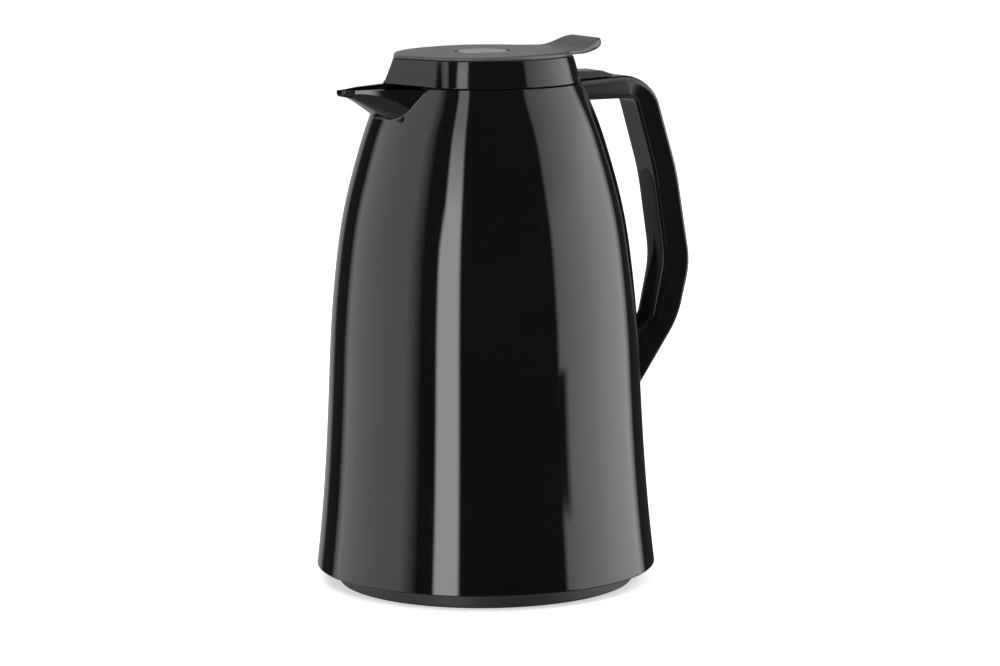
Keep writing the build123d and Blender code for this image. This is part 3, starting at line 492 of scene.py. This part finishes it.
def make_lid():
    edge, top = LID_EDGE, LID_RIM_EDGE
    rings = []
    for share in (0.02, 0.35, 0.62, 0.72, 0.8, 0.88, 0.94):
        rings.append([(x, y, prow_low(x, LID_LOW)) for x, y in lid_outline(LID_LOW, edge) * share])
    for k in range(5):
        a = k / 4 * math.pi / 2
        rings.append([(x, y, prow_low(x, LID_LOW) + edge * (1 - math.cos(a)))
                      for x, y in lid_outline(LID_LOW, edge * (1 - math.sin(a)), GROOVE)])
    for z in (LID_LOW + 3, LID_LOW + 6, LID_LOW + 9):
        rings.append([(x, y, max(z, prow_low(x, LID_LOW) + edge + 0.1))
                      for x, y in lid_outline(z, 0, GROOVE)])
    for k in range(5):
        a = k / 4 * math.pi / 2
        rings.append([(x, y, rear_top(x, LID_RIM) - top * (1 - math.sin(a)))
                      for x, y in lid_outline(LID_RIM, top * (1 - math.cos(a)), GROOVE)])
    for k in range(5):
        a = k / 4 * math.pi / 2
        rings.append([(x, y, rear_top(x, LID_RIM) - top * (1 - math.cos(a)))
                      for x, y in lid_outline(LID_RIM, WALL - top * (1 - math.sin(a)))])
    for rise, inset in LID_FLOOR:
        rings.append([(x, y, LID_LOW + rise) for x, y in lid_outline(LID_LOW + rise, WALL + inset)])
    last = rings[-1]
    for share in (0.8, 0.5, 0.02):
        rings.append([(x * share, y * share, z) for x, y, z in last])
    lid = loft("lid", rings)
    combine(lid, box_piece("deck_tool", *DECK_WELL), "DIFFERENCE")
    for side in (-1, 1):
        near, far = sorted((side * EAR_NEAR, side * EAR_FAR))
        ring = [(HINGE_X + EAR_R * math.cos(a), HINGE_Z + EAR_R * math.sin(a))
                for a in np.linspace(0, math.pi, 25)]
        ring += [(HINGE_X - EAR_R, EAR_LOW), (HINGE_X + EAR_R, EAR_LOW)]
        ear = loft("ear", [[(x, near, z) for x, z in ring], [(x, far, z) for x, z in ring]])
        combine(lid, ear, "UNION")
    tongue = box_piece("keeper", *KEEPER)
    combine(tongue, box_piece("keeper_tool", *KEEPER_REACH, *BOLT_WAY), "DIFFERENCE")
    return combine(lid, tongue, "UNION")


# Lever plate with the thumb tab

TAB_ROOT_X, TAB_START_X, TAB_TOP_X, TAB_REACH = 31.0, 40.5, 54.6, 56.8
TAB_RISE, TAB_THICK = 4.65, 4.4
TAB_PLAN = ((TAB_ROOT_X, 26.0), (43.0, 20.5), (56.3, 15.5))
TAB_END_ROUND, TAB_EDGE_ROUND = 6.0, 1.9
TAB_TOP_DEG, TAB_LOW_DEG = 6, 19
PLATE_FALL, PLATE_FALL_X, PLATE_FALL_LENGTH = 0.9, 10.0, 56
PLATE_EDGE = 2.2
WELL_R = 13.5
WELL = ((0.0, 0.0), (0.15, 0.03), (0.26, 0.14), (0.3, 0.3), (0.3, 0.55), (0.4, 0.67), (0.6, 0.7))
RIB_NEAR, RIB_FAR = 5.0, 8.2
SLOT_HALF_X, SLOT_HALF_Z, SLOT_Z = 2.15, 1.65, 240.3
BARREL_R, PIN_R = 2.7, 1.55
ROOT_Z = PLATE_LOW + 0.3


def make_tab():
    plan = natural_spline(TAB_PLAN, 160)
    top = hermite((TAB_START_X, PLATE_TOP), (TAB_TOP_X, PLATE_TOP + TAB_RISE), (1, 0),
                  (1, math.tan(math.radians(TAB_TOP_DEG))), 80)
    low = hermite((LID_TOP_FORM[0], PLATE_LOW), (TAB_TOP_X, PLATE_TOP + TAB_RISE - TAB_THICK), (1, 0),
                  (1, math.tan(math.radians(TAB_LOW_DEG))), 80)
    mid_z = PLATE_TOP + TAB_RISE - TAB_THICK / 2
    reach = TAB_REACH - TAB_TOP_X
    stations = list(np.linspace(TAB_ROOT_X, TAB_TOP_X, 60))
    stations += [TAB_TOP_X + reach * math.sin(a) for a in np.linspace(0, math.pi / 2, 14)[1:]]
    rings = []
    for x in stations:
        half = float(np.interp(x, plan[:, 0], plan[:, 1]))
        beyond = x - (TAB_REACH - TAB_END_ROUND)
        if beyond > 0:
            half -= TAB_END_ROUND - math.sqrt(max(TAB_END_ROUND ** 2 - beyond ** 2, 0.0))
        if x <= TAB_TOP_X:
            high = float(np.interp(x, top[:, 0], top[:, 1])) if x > TAB_START_X else PLATE_TOP
            deep = float(np.interp(x, low[:, 0], low[:, 1])) if x > LID_TOP_FORM[0] else PLATE_LOW
        else:
            share = (x - TAB_TOP_X) / reach
            half_thick = TAB_THICK / 2 * math.sqrt(max(1 - share ** 2, 0.0))
            high, deep = mid_z + half_thick, mid_z - half_thick
        high, deep = high - 0.02, deep + 0.02
        bend = min(TAB_EDGE_ROUND, (high - deep) / 2 * 0.96) if high - deep > 0.05 else 0.01
        high = max(high, deep + 0.03)
        ring = bent(((-half, deep, bend), (half, deep, bend), (half, high, bend), (-half, high, bend)),
                    arc_steps=7)
        rings.append([(x, y, z) for y, z in ring])
    return loft("tab", rings, sharp_deg=50)


def plate_height(x):
    """Top of the plate, which falls a little towards the beak."""
    return PLATE_TOP - PLATE_FALL * max(0.0, PLATE_FALL_X - x) / PLATE_FALL_LENGTH


def make_plate():
    rings = []
    first = [(x, y, PLATE_LOW) for x, y in lid_outline(PLATE_LOW, 0.2)]
    for share in (0.02, 0.6):
        rings.append([(x * share, y * share, z) for x, y, z in first])
    rings.append(first)
    rings.append([(x, y, PLATE_LOW + 0.2) for x, y in lid_outline(PLATE_LOW + 0.2, 0)])
    for k in range(13):
        a = k / 12 * math.pi / 2
        rings.append([(x, y, lerp(PLATE_LOW + 0.35, plate_height(x), math.sin(a)))
                      for x, y in lid_outline(PLATE_TOP, PLATE_EDGE * (1 - math.cos(a)))])
    outline = lid_outline(PLATE_TOP, PLATE_EDGE)
    angles = np.arctan2(outline[:, 1], outline[:, 0])
    circle = np.stack([np.cos(angles), np.sin(angles)], 1)
    for share in (0.1, 0.25, 0.5, 0.75):
        rings.append([(x, y, plate_height(x)) for x, y in lerp(outline, circle * WELL_R, share)])
    for radius, drop in (*((WELL_R - inset, drop) for inset, drop in WELL), (6.0, 0.7), (0.02, 0.7)):
        rings.append([(x, y, plate_height(x) - drop) for x, y in circle * radius])
    plate = loft("plate", rings)
    combine(plate, make_tab(), "UNION")
    for side in (-1, 1):
        near, far = sorted((side * RIB_NEAR, side * RIB_FAR))
        ring = [(HINGE_X, HINGE_Z - BARREL_R), (4.1, 237.2), (-4.1, 237.2), (-4.1, ROOT_Z), (HINGE_X, ROOT_Z)]
        rib = loft("rib", [[(x, near, z) for x, z in ring], [(x, far, z) for x, z in ring]])
        slot = [(math.cos(a) * SLOT_HALF_X, math.sin(a) * SLOT_HALF_Z + SLOT_Z)
                for a in np.linspace(0, TURN, 41)[:-1]]
        tool = loft("slot_tool", [[(x, near - 1, z) for x, z in slot], [(x, far + 1, z) for x, z in slot]])
        combine(rib, tool, "DIFFERENCE")
        combine(plate, rib, "UNION")
    combine(plate, rod_y("barrel", BARREL_R, 9.7, HINGE_X, HINGE_Z), "UNION")
    bridge = box_piece("bridge", HINGE_X - 2.69, HINGE_X + 2.69, -9.69, 9.69, HINGE_Z, ROOT_Z)
    combine(plate, bridge, "UNION")
    return combine(plate, rod_y("pin_tool", PIN_R, 14.0, HINGE_X, HINGE_Z), "DIFFERENCE")


BADGE_SUNK = 0.86
BADGE = ((0, 0), (11.4, 0), (11.5, 0.1), (11.5, 0.6), (11.42, 0.78), (11.2, 0.88), (10.9, 0.9), (10.4, 0.9),
         (10.2, 0.82), (9.9, 0.8), (0, 0.8))


def make_badge():
    low = PLATE_TOP - BADGE_SUNK
    return revolve("badge_disc", [(radius, low + rise) for radius, rise in BADGE], 160)


# Handle

BACK = ((84.9, 236.4, 20.0), (99.2, 189.2, 120.0), (106.5, 144.6, 35.0), (99.8, 118.0, 45.0))
HOLLOW = ((76.7, 224.8, 4.5), (87.2, 188.2, 120.0), (93.1, 147.1, 45.0), (87.0, 118.4, 14.0))
BACK_END, HOLLOW_END = (67.1, 70.8), (61.3, 91.3)
ARM_TOP, ARM_LOW = (40.0, 233.9), (40.0, 224.8)
HANDLE_HALF = 10.0
ARM_ROUND, LEG_ROUND, HOLLOW_ROUND = 3.4, 1.7, 1.8
LEG_LEAN = 0.5
LEG_START, LEAN_RUN, ROUND_RUN = 10, 12, 20
GRIP_LOW, GRIP_HIGH, GRIP_HALF = 106.0, 190.0, 6.6
GRIP_STEPS = ((0.0, -1.5), (0.0, 0.0), (0.06, 0.16), (0.2, 0.26), (0.4, 0.3), (2.0, 0.3), (4.0, 0.3),
              (6.0, 0.3), (6.55, 0.3))
SLIDE_WAY, SLIDE_MOUTH = (20.0, 69.0, -5.85, 5.85, 229.5, 232.4), (20.0, 61.25, -3.25, 3.25, 232.0, 236.0)
BUTTON = ((38.0, 234.1, 0), (65.4, 235.6, 0.4), (64.9, 236.4, 0.6), (59.2, 238.4, 2.4), (38.0, 238.4, 0))
BUTTON_HALF, BUTTON_ROUND, BUTTON_FRONT_R = 8.0, 0.3, 46.8
BUTTON_STEM, BUTTON_FOOT = (51.2, 57.0, -3.0, 3.0, 230.0, 235.4), (51.21, 56.99, -5.6, 5.6, 229.75, 232.15)
LATCH_BOLT = (40.3, 52.0, -3.01, 3.01, 230.05, 231.85)


def stations_of(points, arc_steps, run_steps):
    """Points along an open line with rounded corners, equally many on each arc and run."""
    arcs = bent(points, closed=False, arc_steps=arc_steps)
    line = []
    for i in range(0, len(arcs) - 1):
        line.append(arcs[i])
        if i % (arc_steps + 1) == 0:
            line += [lerp(arcs[i], arcs[i + 1], k / run_steps) for k in range(1, run_steps)]
    return np.array(line + [arcs[-1]])


def make_handle():
    back = stations_of(((*ARM_TOP, 0), *BACK, (*BACK_END, 0)), 24, 8)
    inner = stations_of(((*ARM_LOW, 0), *HOLLOW, (*HOLLOW_END, 0)), 24, 8)
    rings = []
    for k, (near, far) in enumerate(zip(inner, back)):
        across = far - near
        depth = np.linalg.norm(across)
        across /= depth
        bend = lerp(ARM_ROUND, LEG_ROUND, clamp((k - LEG_START) / ROUND_RUN))
        slim = HANDLE_HALF - LEG_LEAN * clamp((k - LEG_START) / LEAN_RUN)
        section = bent(((0, -slim, HOLLOW_ROUND), (depth, -HANDLE_HALF, bend), (depth, HANDLE_HALF, bend),
                        (0, slim, HOLLOW_ROUND)), arc_steps=7)
        rings.append([(near[0] + s * across[0], y, near[1] + s * across[1]) for s, y in section])
    handle = loft("handle", rings)
    combine(handle, body_solid("body_tool"), "DIFFERENCE")
    way = box_piece("way_tool", *SLIDE_WAY)
    combine(way, box_piece("way_top", *SLIDE_MOUTH), "UNION")
    return combine(handle, way, "DIFFERENCE")


def make_grip():
    """Inlay that follows the hollow side of the handle, a little proud of it."""
    curve = bent(((*HOLLOW_END, 0), *reversed(HOLLOW), (76.0, ARM_LOW[1], 0)), closed=False, arc_steps=30)
    curve = curve[np.argsort(curve[:, 1])]
    rings = []
    for inset, proud in GRIP_STEPS:
        bend = GRIP_HALF - inset
        ring = []
        for centre, start in ((GRIP_HIGH - GRIP_HALF, 0.0), (GRIP_LOW + GRIP_HALF, math.pi)):
            for k in range(25):
                a = start + math.pi * k / 24
                ring.append((centre + bend * math.sin(a), bend * math.cos(a)))
        dense = []
        for i, (z, y) in enumerate(ring):
            nz, ny = ring[(i + 1) % len(ring)]
            dense.append((z, y))
            if abs(nz - z) > 10:
                dense += [(lerp(z, nz, k / 40), lerp(y, ny, k / 40)) for k in range(1, 40)]
        rings.append([(float(np.interp(z, curve[:, 1], curve[:, 0])) - proud, y, z) for z, y in dense])
    return loft("grip", rings)


def make_button():
    button = cushion_extrude("button", bent(BUTTON, run_steps=6), BUTTON_HALF, BUTTON_ROUND, steps=5)
    front = [(0, 230.0), (BUTTON_FRONT_R, 230.0), (BUTTON_FRONT_R, 242.0), (0, 242.0)]
    combine(button, revolve("button_tool", front, 200), "DIFFERENCE")
    combine(button, box_piece("stem", *BUTTON_STEM), "UNION")
    combine(button, box_piece("foot", *BUTTON_FOOT), "UNION")
    return combine(button, box_piece("bolt", *LATCH_BOLT), "UNION")


# Base cap
BASE = ((0, 5.0), (63.4, 5.0), (64.0, 4.4), (64.0, 1.2), (64.35, 0.35), (65.2, 0.0), (68.3, 0.0),
        (69.15, 0.35), (69.5, 1.2), (69.5, 7.6), (69.9, 8.0), (76.2, 8.0), (76.5, 8.3), (76.5, 11.0),
        (72.8, 11.0), (72.8, 20.0), (69.4, 20.0), (69.4, 11.0), (64.0, 8.0), (0, 8.0))
COIN_SLOT = (-13.0, 13.0, -1.5, 1.5, 3.0, 6.4)


def make_base():
    return combine(revolve("base", BASE), box_piece("coin_tool", *COIN_SLOT), "DIFFERENCE")


# Materials

def moulded(name, colour, roughness, grain=900.0, grain_depth=0.00001, wander=0.12, spread=0.03, metallic=0.0,
            stretch=(1, 1, 1), wave=60.0, wave_depth=0.0, **sockets):
    """Moulded or finished surface: uneven tone, uneven gloss, fine grain and slow waviness."""
    made = bpy.data.materials.new(name)
    made.use_nodes = True
    tree = made.node_tree
    shader = tree.nodes["Principled BSDF"]
    place = tree.nodes.new("ShaderNodeTexCoord")
    scale = tree.nodes.new("ShaderNodeMapping")
    scale.inputs["Scale"].default_value = stretch
    tree.links.new(place.outputs["Object"], scale.inputs["Vector"])
    tone = tree.nodes.new("ShaderNodeTexNoise")
    tone.inputs["Scale"].default_value = 14.0
    tone.inputs["Detail"].default_value = 3.0
    tree.links.new(scale.outputs["Vector"], tone.inputs["Vector"])
    colours = tree.nodes.new("ShaderNodeValToRGB")
    ends = ((0.35, [c * (1 - wander) for c in colour]), (0.65, [min(1.0, c * (1 + wander)) for c in colour]))
    for element, (position, shade) in zip(colours.color_ramp.elements, ends):
        element.position, element.color = position, (*shade, 1)
    tree.links.new(tone.outputs["Fac"], colours.inputs["Fac"])
    tree.links.new(colours.outputs["Color"], shader.inputs["Base Color"])
    fine = tree.nodes.new("ShaderNodeTexNoise")
    fine.inputs["Scale"].default_value = grain
    fine.inputs["Detail"].default_value = 4.0
    tree.links.new(scale.outputs["Vector"], fine.inputs["Vector"])
    gloss = tree.nodes.new("ShaderNodeMapRange")
    gloss.inputs["To Min"].default_value = max(0.0, roughness - spread)
    gloss.inputs["To Max"].default_value = roughness + spread
    tree.links.new(fine.outputs["Fac"], gloss.inputs["Value"])
    tree.links.new(gloss.outputs["Result"], shader.inputs["Roughness"])
    bump = tree.nodes.new("ShaderNodeBump")
    bump.inputs["Distance"].default_value = grain_depth
    bump.inputs["Strength"].default_value = 1.0
    tree.links.new(fine.outputs["Fac"], bump.inputs["Height"])
    if wave_depth:
        slow = tree.nodes.new("ShaderNodeTexNoise")
        slow.inputs["Scale"].default_value = wave
        slow.inputs["Detail"].default_value = 1.0
        tree.links.new(scale.outputs["Vector"], slow.inputs["Vector"])
        sway = tree.nodes.new("ShaderNodeBump")
        sway.inputs["Distance"].default_value = wave_depth
        tree.links.new(slow.outputs["Fac"], sway.inputs["Height"])
        tree.links.new(sway.outputs["Normal"], bump.inputs["Normal"])
    tree.links.new(bump.outputs["Normal"], shader.inputs["Normal"])
    shader.inputs["Metallic"].default_value = metallic
    for socket, value in sockets.items():
        shader.inputs[socket.replace("_", " ")].default_value = value
    return made


def dress(obj, material):
    obj.data.materials.clear()
    obj.data.materials.append(material)


BLACK = (0.0035, 0.0035, 0.0038)
gloss_black = moulded("gloss black shell", BLACK, 0.045, grain=500, grain_depth=0.0000004,
                      spread=0.012, wave=45, wave_depth=0.000004)
gloss_collar = moulded("gloss black collar", BLACK, 0.06, grain=500, grain_depth=0.0000006,
                       spread=0.015, wave=60, wave_depth=0.000003)
gloss_lid = moulded("gloss black lid", BLACK, 0.07, grain=500, grain_depth=0.0000006,
                    spread=0.015, wave=60, wave_depth=0.000003, Specular_IOR_Level=0.42)
satin_plate = moulded("satin plate", (0.062, 0.062, 0.063), 0.3, grain=1800, grain_depth=0.000012,
                      spread=0.05)
satin_handle = moulded("satin handle", (0.004, 0.004, 0.0043), 0.09, grain=1600, grain_depth=0.0000012,
                       spread=0.03)
# Grey satin, lighter than the gloss black around it: a painted highlight along the real rolled edge where the
# beak meets the shell.
highlight_grey = moulded("grey edge with painted highlight", (0.07, 0.07, 0.071), 0.35, grain=900, grain_depth=0.000001, spread=0.05)
satin_button = moulded("satin button", (0.03, 0.03, 0.031), 0.24, grain=1600, grain_depth=0.000008,
                       spread=0.04)
soft_grip = moulded("soft grip", (0.012, 0.012, 0.012), 0.55, grain=2200, grain_depth=0.00003, spread=0.08)
matte_base = moulded("matte base", (0.03, 0.03, 0.031), 0.42, grain=1500, grain_depth=0.00002, spread=0.06)
inner_plastic = moulded("inner plastic", (0.05, 0.05, 0.052), 0.4, grain=1200, grain_depth=0.00001)
silicone = moulded("silicone", (0.5, 0.5, 0.49), 0.5, grain=800, grain_depth=0.00001, Subsurface_Weight=0.2)
liner_glass = moulded("liner glass", (0.85, 0.88, 0.88), 0.03, grain=40, spread=0.01, Transmission_Weight=0.9,
                      IOR=1.5)
mirror_glass = moulded("silvered glass", (0.82, 0.83, 0.85), 0.04, metallic=0.9, grain=40, spread=0.02)
felt = moulded("mineral felt", (0.62, 0.6, 0.55), 0.9, grain=600, grain_depth=0.0001)
badge_metal = moulded("brushed badge", (0.36, 0.36, 0.365), 0.5, metallic=0.6, grain=900,
                      grain_depth=0.000004, wander=0.03, stretch=(0.3, 1, 1), spread=0.06)
steel = moulded("bright steel", (0.6, 0.6, 0.61), 0.22, metallic=1.0, grain=700, stretch=(1, 1, 0.2),
                spread=0.06)

SLOT_LOOKS = {
    "gloss_shell": gloss_black, "gloss_collar": gloss_collar, "gloss_lid": gloss_lid,
    "satin_plate": satin_plate, "satin_handle": satin_handle, "satin_button": satin_button,
    "soft_grip": soft_grip, "matte_base": matte_base, "inner_plastic": inner_plastic, "silicone": silicone,
    "liner_glass": liner_glass, "mirror_glass": mirror_glass, "pad": felt, "badge_metal": badge_metal,
    "steel": steel,
}
slot_of = {s["node"]: s["material_slot"] for s in frame["record"]["subparts"]}
body_of = {n: b for b, members in frame["record"]["behaviour"]["bodies"].items() for n in members}

for name, obj in nodes.items():
    dress(obj, SLOT_LOOKS[slot_of[name]])

REPLACED = {
    "body_shell": make_shell, "pouring_collar": make_collar, "lid_housing": make_lid,
    "lever_plate": make_plate, "badge": make_badge, "handle_shell": make_handle, "handle_grip": make_grip,
    "release_button": make_button, "base_cap": make_base,
}
for name, make in REPLACED.items():
    piece = make()
    weigh_normals(piece)
    dress(piece, SLOT_LOOKS[slot_of[name]])
    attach(piece, body_of[name])
    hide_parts(name)

bead = make_bead()
dress(bead, highlight_grey)
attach(bead, "carafe")

# Floor and lights


FLOOR_LIFT, WORLD_DIM = 0.55, 0.55


def staged(name, mesh):
    """Object of the studio, which is no part of the carafe."""
    obj = bpy.data.objects.new(name, mesh)
    bpy.context.scene.collection.objects.link(obj)
    return obj


def make_floor():
    mesh = bpy.data.meshes.new("floor")
    mesh.from_pydata([(-30, -30, 0), (30, -30, 0), (30, 30, 0), (-30, 30, 0)], [], [(0, 1, 2, 3)])
    floor = staged("floor", mesh)
    floor.visible_glossy = False
    made = bpy.data.materials.new("pale floor")
    made.use_nodes = True
    tree = made.node_tree
    shader = tree.nodes["Principled BSDF"]
    shader.inputs["Base Color"].default_value = (0.86, 0.86, 0.86, 1)
    shader.inputs["Roughness"].default_value = 0.9
    shader.inputs["Specular IOR Level"].default_value = 0.0
    shader.inputs["Emission Color"].default_value = (1, 1, 1, 1)
    path = tree.nodes.new("ShaderNodeLightPath")
    lift = tree.nodes.new("ShaderNodeMath")
    lift.operation = "MULTIPLY"
    lift.inputs[1].default_value = FLOOR_LIFT
    tree.links.new(path.outputs["Is Camera Ray"], lift.inputs[0])
    tree.links.new(lift.outputs[0], shader.inputs["Emission Strength"])
    mesh.materials.append(made)


# Light tent in metres, by azimuth from the camera's side (degrees, clockwise seen from above): what each
# panel gives at the stated azimuths. The wide panel on the right has a sill, below which it starts later.
# The strip grows weaker with height, and its left edge draws in.
LEFT_PANEL = ((-127.5, 0.0), (-118.5, 1.4), (-60.0, 1.5), (-53.5, 0.75), (-47.0, 0.0))
STRIP_PANEL = ((-36.2, 0.0), (-33.7, 6.2), (-19.5, 6.2), (-17.0, 0.0))
RIGHT_PANEL = ((54.5, 0.0), (58.0, 1.8), (72.0, 2.35), (94.0, 2.85), (107.0, 2.7), (119.0, 2.25),
               (128.0, 2.0), (137.5, 0.0))
BACK_PANEL = ((-180.0, 0.45), (-152.0, 0.4), (-146.0, 0.0), (168.0, 0.0), (176.0, 0.45), (180.0, 0.45))
TENT_GLOW, BACK_SHARE, FLOOR_GLOW, FLOOR_GLOW_Z = 0.04, 0.5, 0.4, -1.3
TENT_RADIUS = 6.0
# Height, share of the right panel, dimmed back panel or not, share of the strip
TENT_ROWS = ((-3.0, 0, 0, 1.0), (-0.36, 0, 0, 1.0), (-0.3, 1.0, 0, 1.0), (0.75, 1.0, 0, 1.0),
             (1.1, 1.0, 1, 1.0), (1.6, 1.0, 1, 1.0), (2.3, 0.82, 1, 1.0), (3.3, 0.72, 1, 0.66),
             (4.5, 0.65, 1, 0.45), (24.0, 0.5, 1, 0.3))
LOW_START, LOW_RUN = 59.5, 5
STRIP_MIDDLE, STRIP_NARROW, NARROW_START, NARROW_RUN = -29.0, 3.5, 1.0, 1.5
CAMERA_SIDE = 27.0


def panel(table, azimuth):
    return float(np.interp(azimuth, [a for a, s in table], [s for a, s in table]))


def tent_strength(z, azimuth, right, high, strip):
    if z < 0:
        right = max(right, clamp((azimuth - LOW_START) / LOW_RUN))
    drawn_in = STRIP_NARROW * clamp((z - NARROW_START) / NARROW_RUN) if azimuth < STRIP_MIDDLE else 0.0
    return (TENT_GLOW + panel(LEFT_PANEL, azimuth) + strip * panel(STRIP_PANEL, azimuth - drawn_in)
            + right * panel(RIGHT_PANEL, azimuth) + lerp(1.0, BACK_SHARE, high) * panel(BACK_PANEL, azimuth))


def make_tent():
    """Ring of soft light panels and dark cards that only shows in reflections."""
    steps, floor_steps = 1440, 64
    verts, faces, values = [], [], []
    rows = len(TENT_ROWS)
    for k in range(steps):
        azimuth = -180 + 360 * k / steps
        toward = math.radians(-90 - CAMERA_SIDE + azimuth)
        for z, right, high, strip in TENT_ROWS:
            verts.append((TENT_RADIUS * math.cos(toward), TENT_RADIUS * math.sin(toward), z))
            values.append(tent_strength(z, azimuth, right, high, strip))
    for k in range(steps):
        n = (k + 1) % steps
        for row in range(rows - 1):
            faces.append((rows * k + row, rows * n + row, rows * n + row + 1, rows * k + row + 1))
    for k in range(floor_steps):
        a = TURN * k / floor_steps
        verts.append((TENT_RADIUS * math.cos(a), TENT_RADIUS * math.sin(a), FLOOR_GLOW_Z))
        values.append(FLOOR_GLOW)
    faces.append(tuple(range(steps * rows, steps * rows + floor_steps)))
    mesh = bpy.data.meshes.new("tent")
    mesh.from_pydata(verts, [], faces)
    glow = mesh.attributes.new("glow", "FLOAT", "POINT")
    glow.data.foreach_set("value", values)
    tent = staged("tent", mesh)
    made = bpy.data.materials.new("tent panels")
    made.use_nodes = True
    made.cycles.emission_sampling = "NONE"
    tree = made.node_tree
    tree.nodes.clear()
    out = tree.nodes.new("ShaderNodeOutputMaterial")
    light = tree.nodes.new("ShaderNodeEmission")
    read = tree.nodes.new("ShaderNodeAttribute")
    read.attribute_name = "glow"
    tree.links.new(read.outputs["Fac"], light.inputs["Strength"])
    tree.links.new(light.outputs["Emission"], out.inputs["Surface"])
    mesh.materials.append(made)
    for ray in ("visible_camera", "visible_diffuse", "visible_transmission", "visible_volume_scatter",
                "visible_shadow"):
        setattr(tent, ray, False)


def make_world():
    world = bpy.data.worlds.new("studio")
    bpy.context.scene.world = world
    world.use_nodes = True
    tree = world.node_tree
    tree.nodes.clear()
    out = tree.nodes.new("ShaderNodeOutputWorld")
    dim, bright = tree.nodes.new("ShaderNodeBackground"), tree.nodes.new("ShaderNodeBackground")
    dim.inputs["Color"].default_value = (1, 1, 1, 1)
    dim.inputs["Strength"].default_value = WORLD_DIM
    bright.inputs["Color"].default_value = (1, 1, 1, 1)
    bright.inputs["Strength"].default_value = 1.0
    path = tree.nodes.new("ShaderNodeLightPath")
    first, second = tree.nodes.new("ShaderNodeMath"), tree.nodes.new("ShaderNodeMath")
    for node in (first, second):
        node.operation = "MAXIMUM"
    tree.links.new(path.outputs["Is Camera Ray"], first.inputs[0])
    tree.links.new(path.outputs["Is Glossy Ray"], first.inputs[1])
    tree.links.new(first.outputs[0], second.inputs[0])
    tree.links.new(path.outputs["Is Transmission Ray"], second.inputs[1])
    mix = tree.nodes.new("ShaderNodeMixShader")
    tree.links.new(second.outputs[0], mix.inputs["Fac"])
    tree.links.new(dim.outputs[0], mix.inputs[1])
    tree.links.new(bright.outputs[0], mix.inputs[2])
    tree.links.new(mix.outputs[0], out.inputs["Surface"])


LAMPS = (("key", (-1.4, -1.6, 2.2), 1.6, 42), ("fill", (1.9, -0.6, 1.8), 1.6, 26),
         ("back", (0.4, 1.9, 2.0), 1.4, 18))
LAMP_TARGET = (0, 0, 0.1)


def make_lamp(name, place, size, watts):
    data = bpy.data.lights.new(name, "AREA")
    data.shape = "DISK"
    data.size = size
    data.energy = watts
    lamp = bpy.data.objects.new(name, data)
    lamp.location = place
    away = np.array(LAMP_TARGET, float) - np.array(place, float)
    away /= np.linalg.norm(away)
    side = np.cross(away, (0, 0, 1.0))
    side /= np.linalg.norm(side)
    up = np.cross(side, away)
    lamp.rotation_euler = Matrix([(side[i], up[i], -away[i]) for i in range(3)]).to_euler()
    bpy.context.scene.collection.objects.link(lamp)
    lamp.visible_glossy = False


make_floor()
make_tent()
make_world()
for name, place, size, watts in LAMPS:
    make_lamp(name, place, size, watts)

# Camera

CAMERA_PLACE, CAMERA_PITCH, CAMERA_ROLL, LENS = (-0.7534, -1.4949, 0.3687), 8.56, 0.37, 129.6

camera_data = bpy.data.cameras.new("camera")
camera_data.lens = LENS
camera_data.sensor_width = 36.0
camera_data.clip_start, camera_data.clip_end = 0.1, 100.0
camera = bpy.data.objects.new("camera", camera_data)
bpy.context.scene.collection.objects.link(camera)
pitch, roll, heading = (math.radians(a) for a in (CAMERA_PITCH, CAMERA_ROLL, CAMERA_SIDE))
ahead = np.array([math.sin(heading) * math.cos(pitch), math.cos(heading) * math.cos(pitch), -math.sin(pitch)])
right = np.array([math.cos(heading), -math.sin(heading), 0.0])
up = np.cross(right, ahead)
right, up = (math.cos(roll) * right - math.sin(roll) * up, math.cos(roll) * up + math.sin(roll) * right)
turned = Matrix([(right[i], up[i], -ahead[i]) for i in range(3)]).to_4x4()
turned.translation = CAMERA_PLACE
camera.matrix_world = turned
bpy.context.scene.camera = camera
bpy.context.scene.view_settings.view_transform = "Standard"
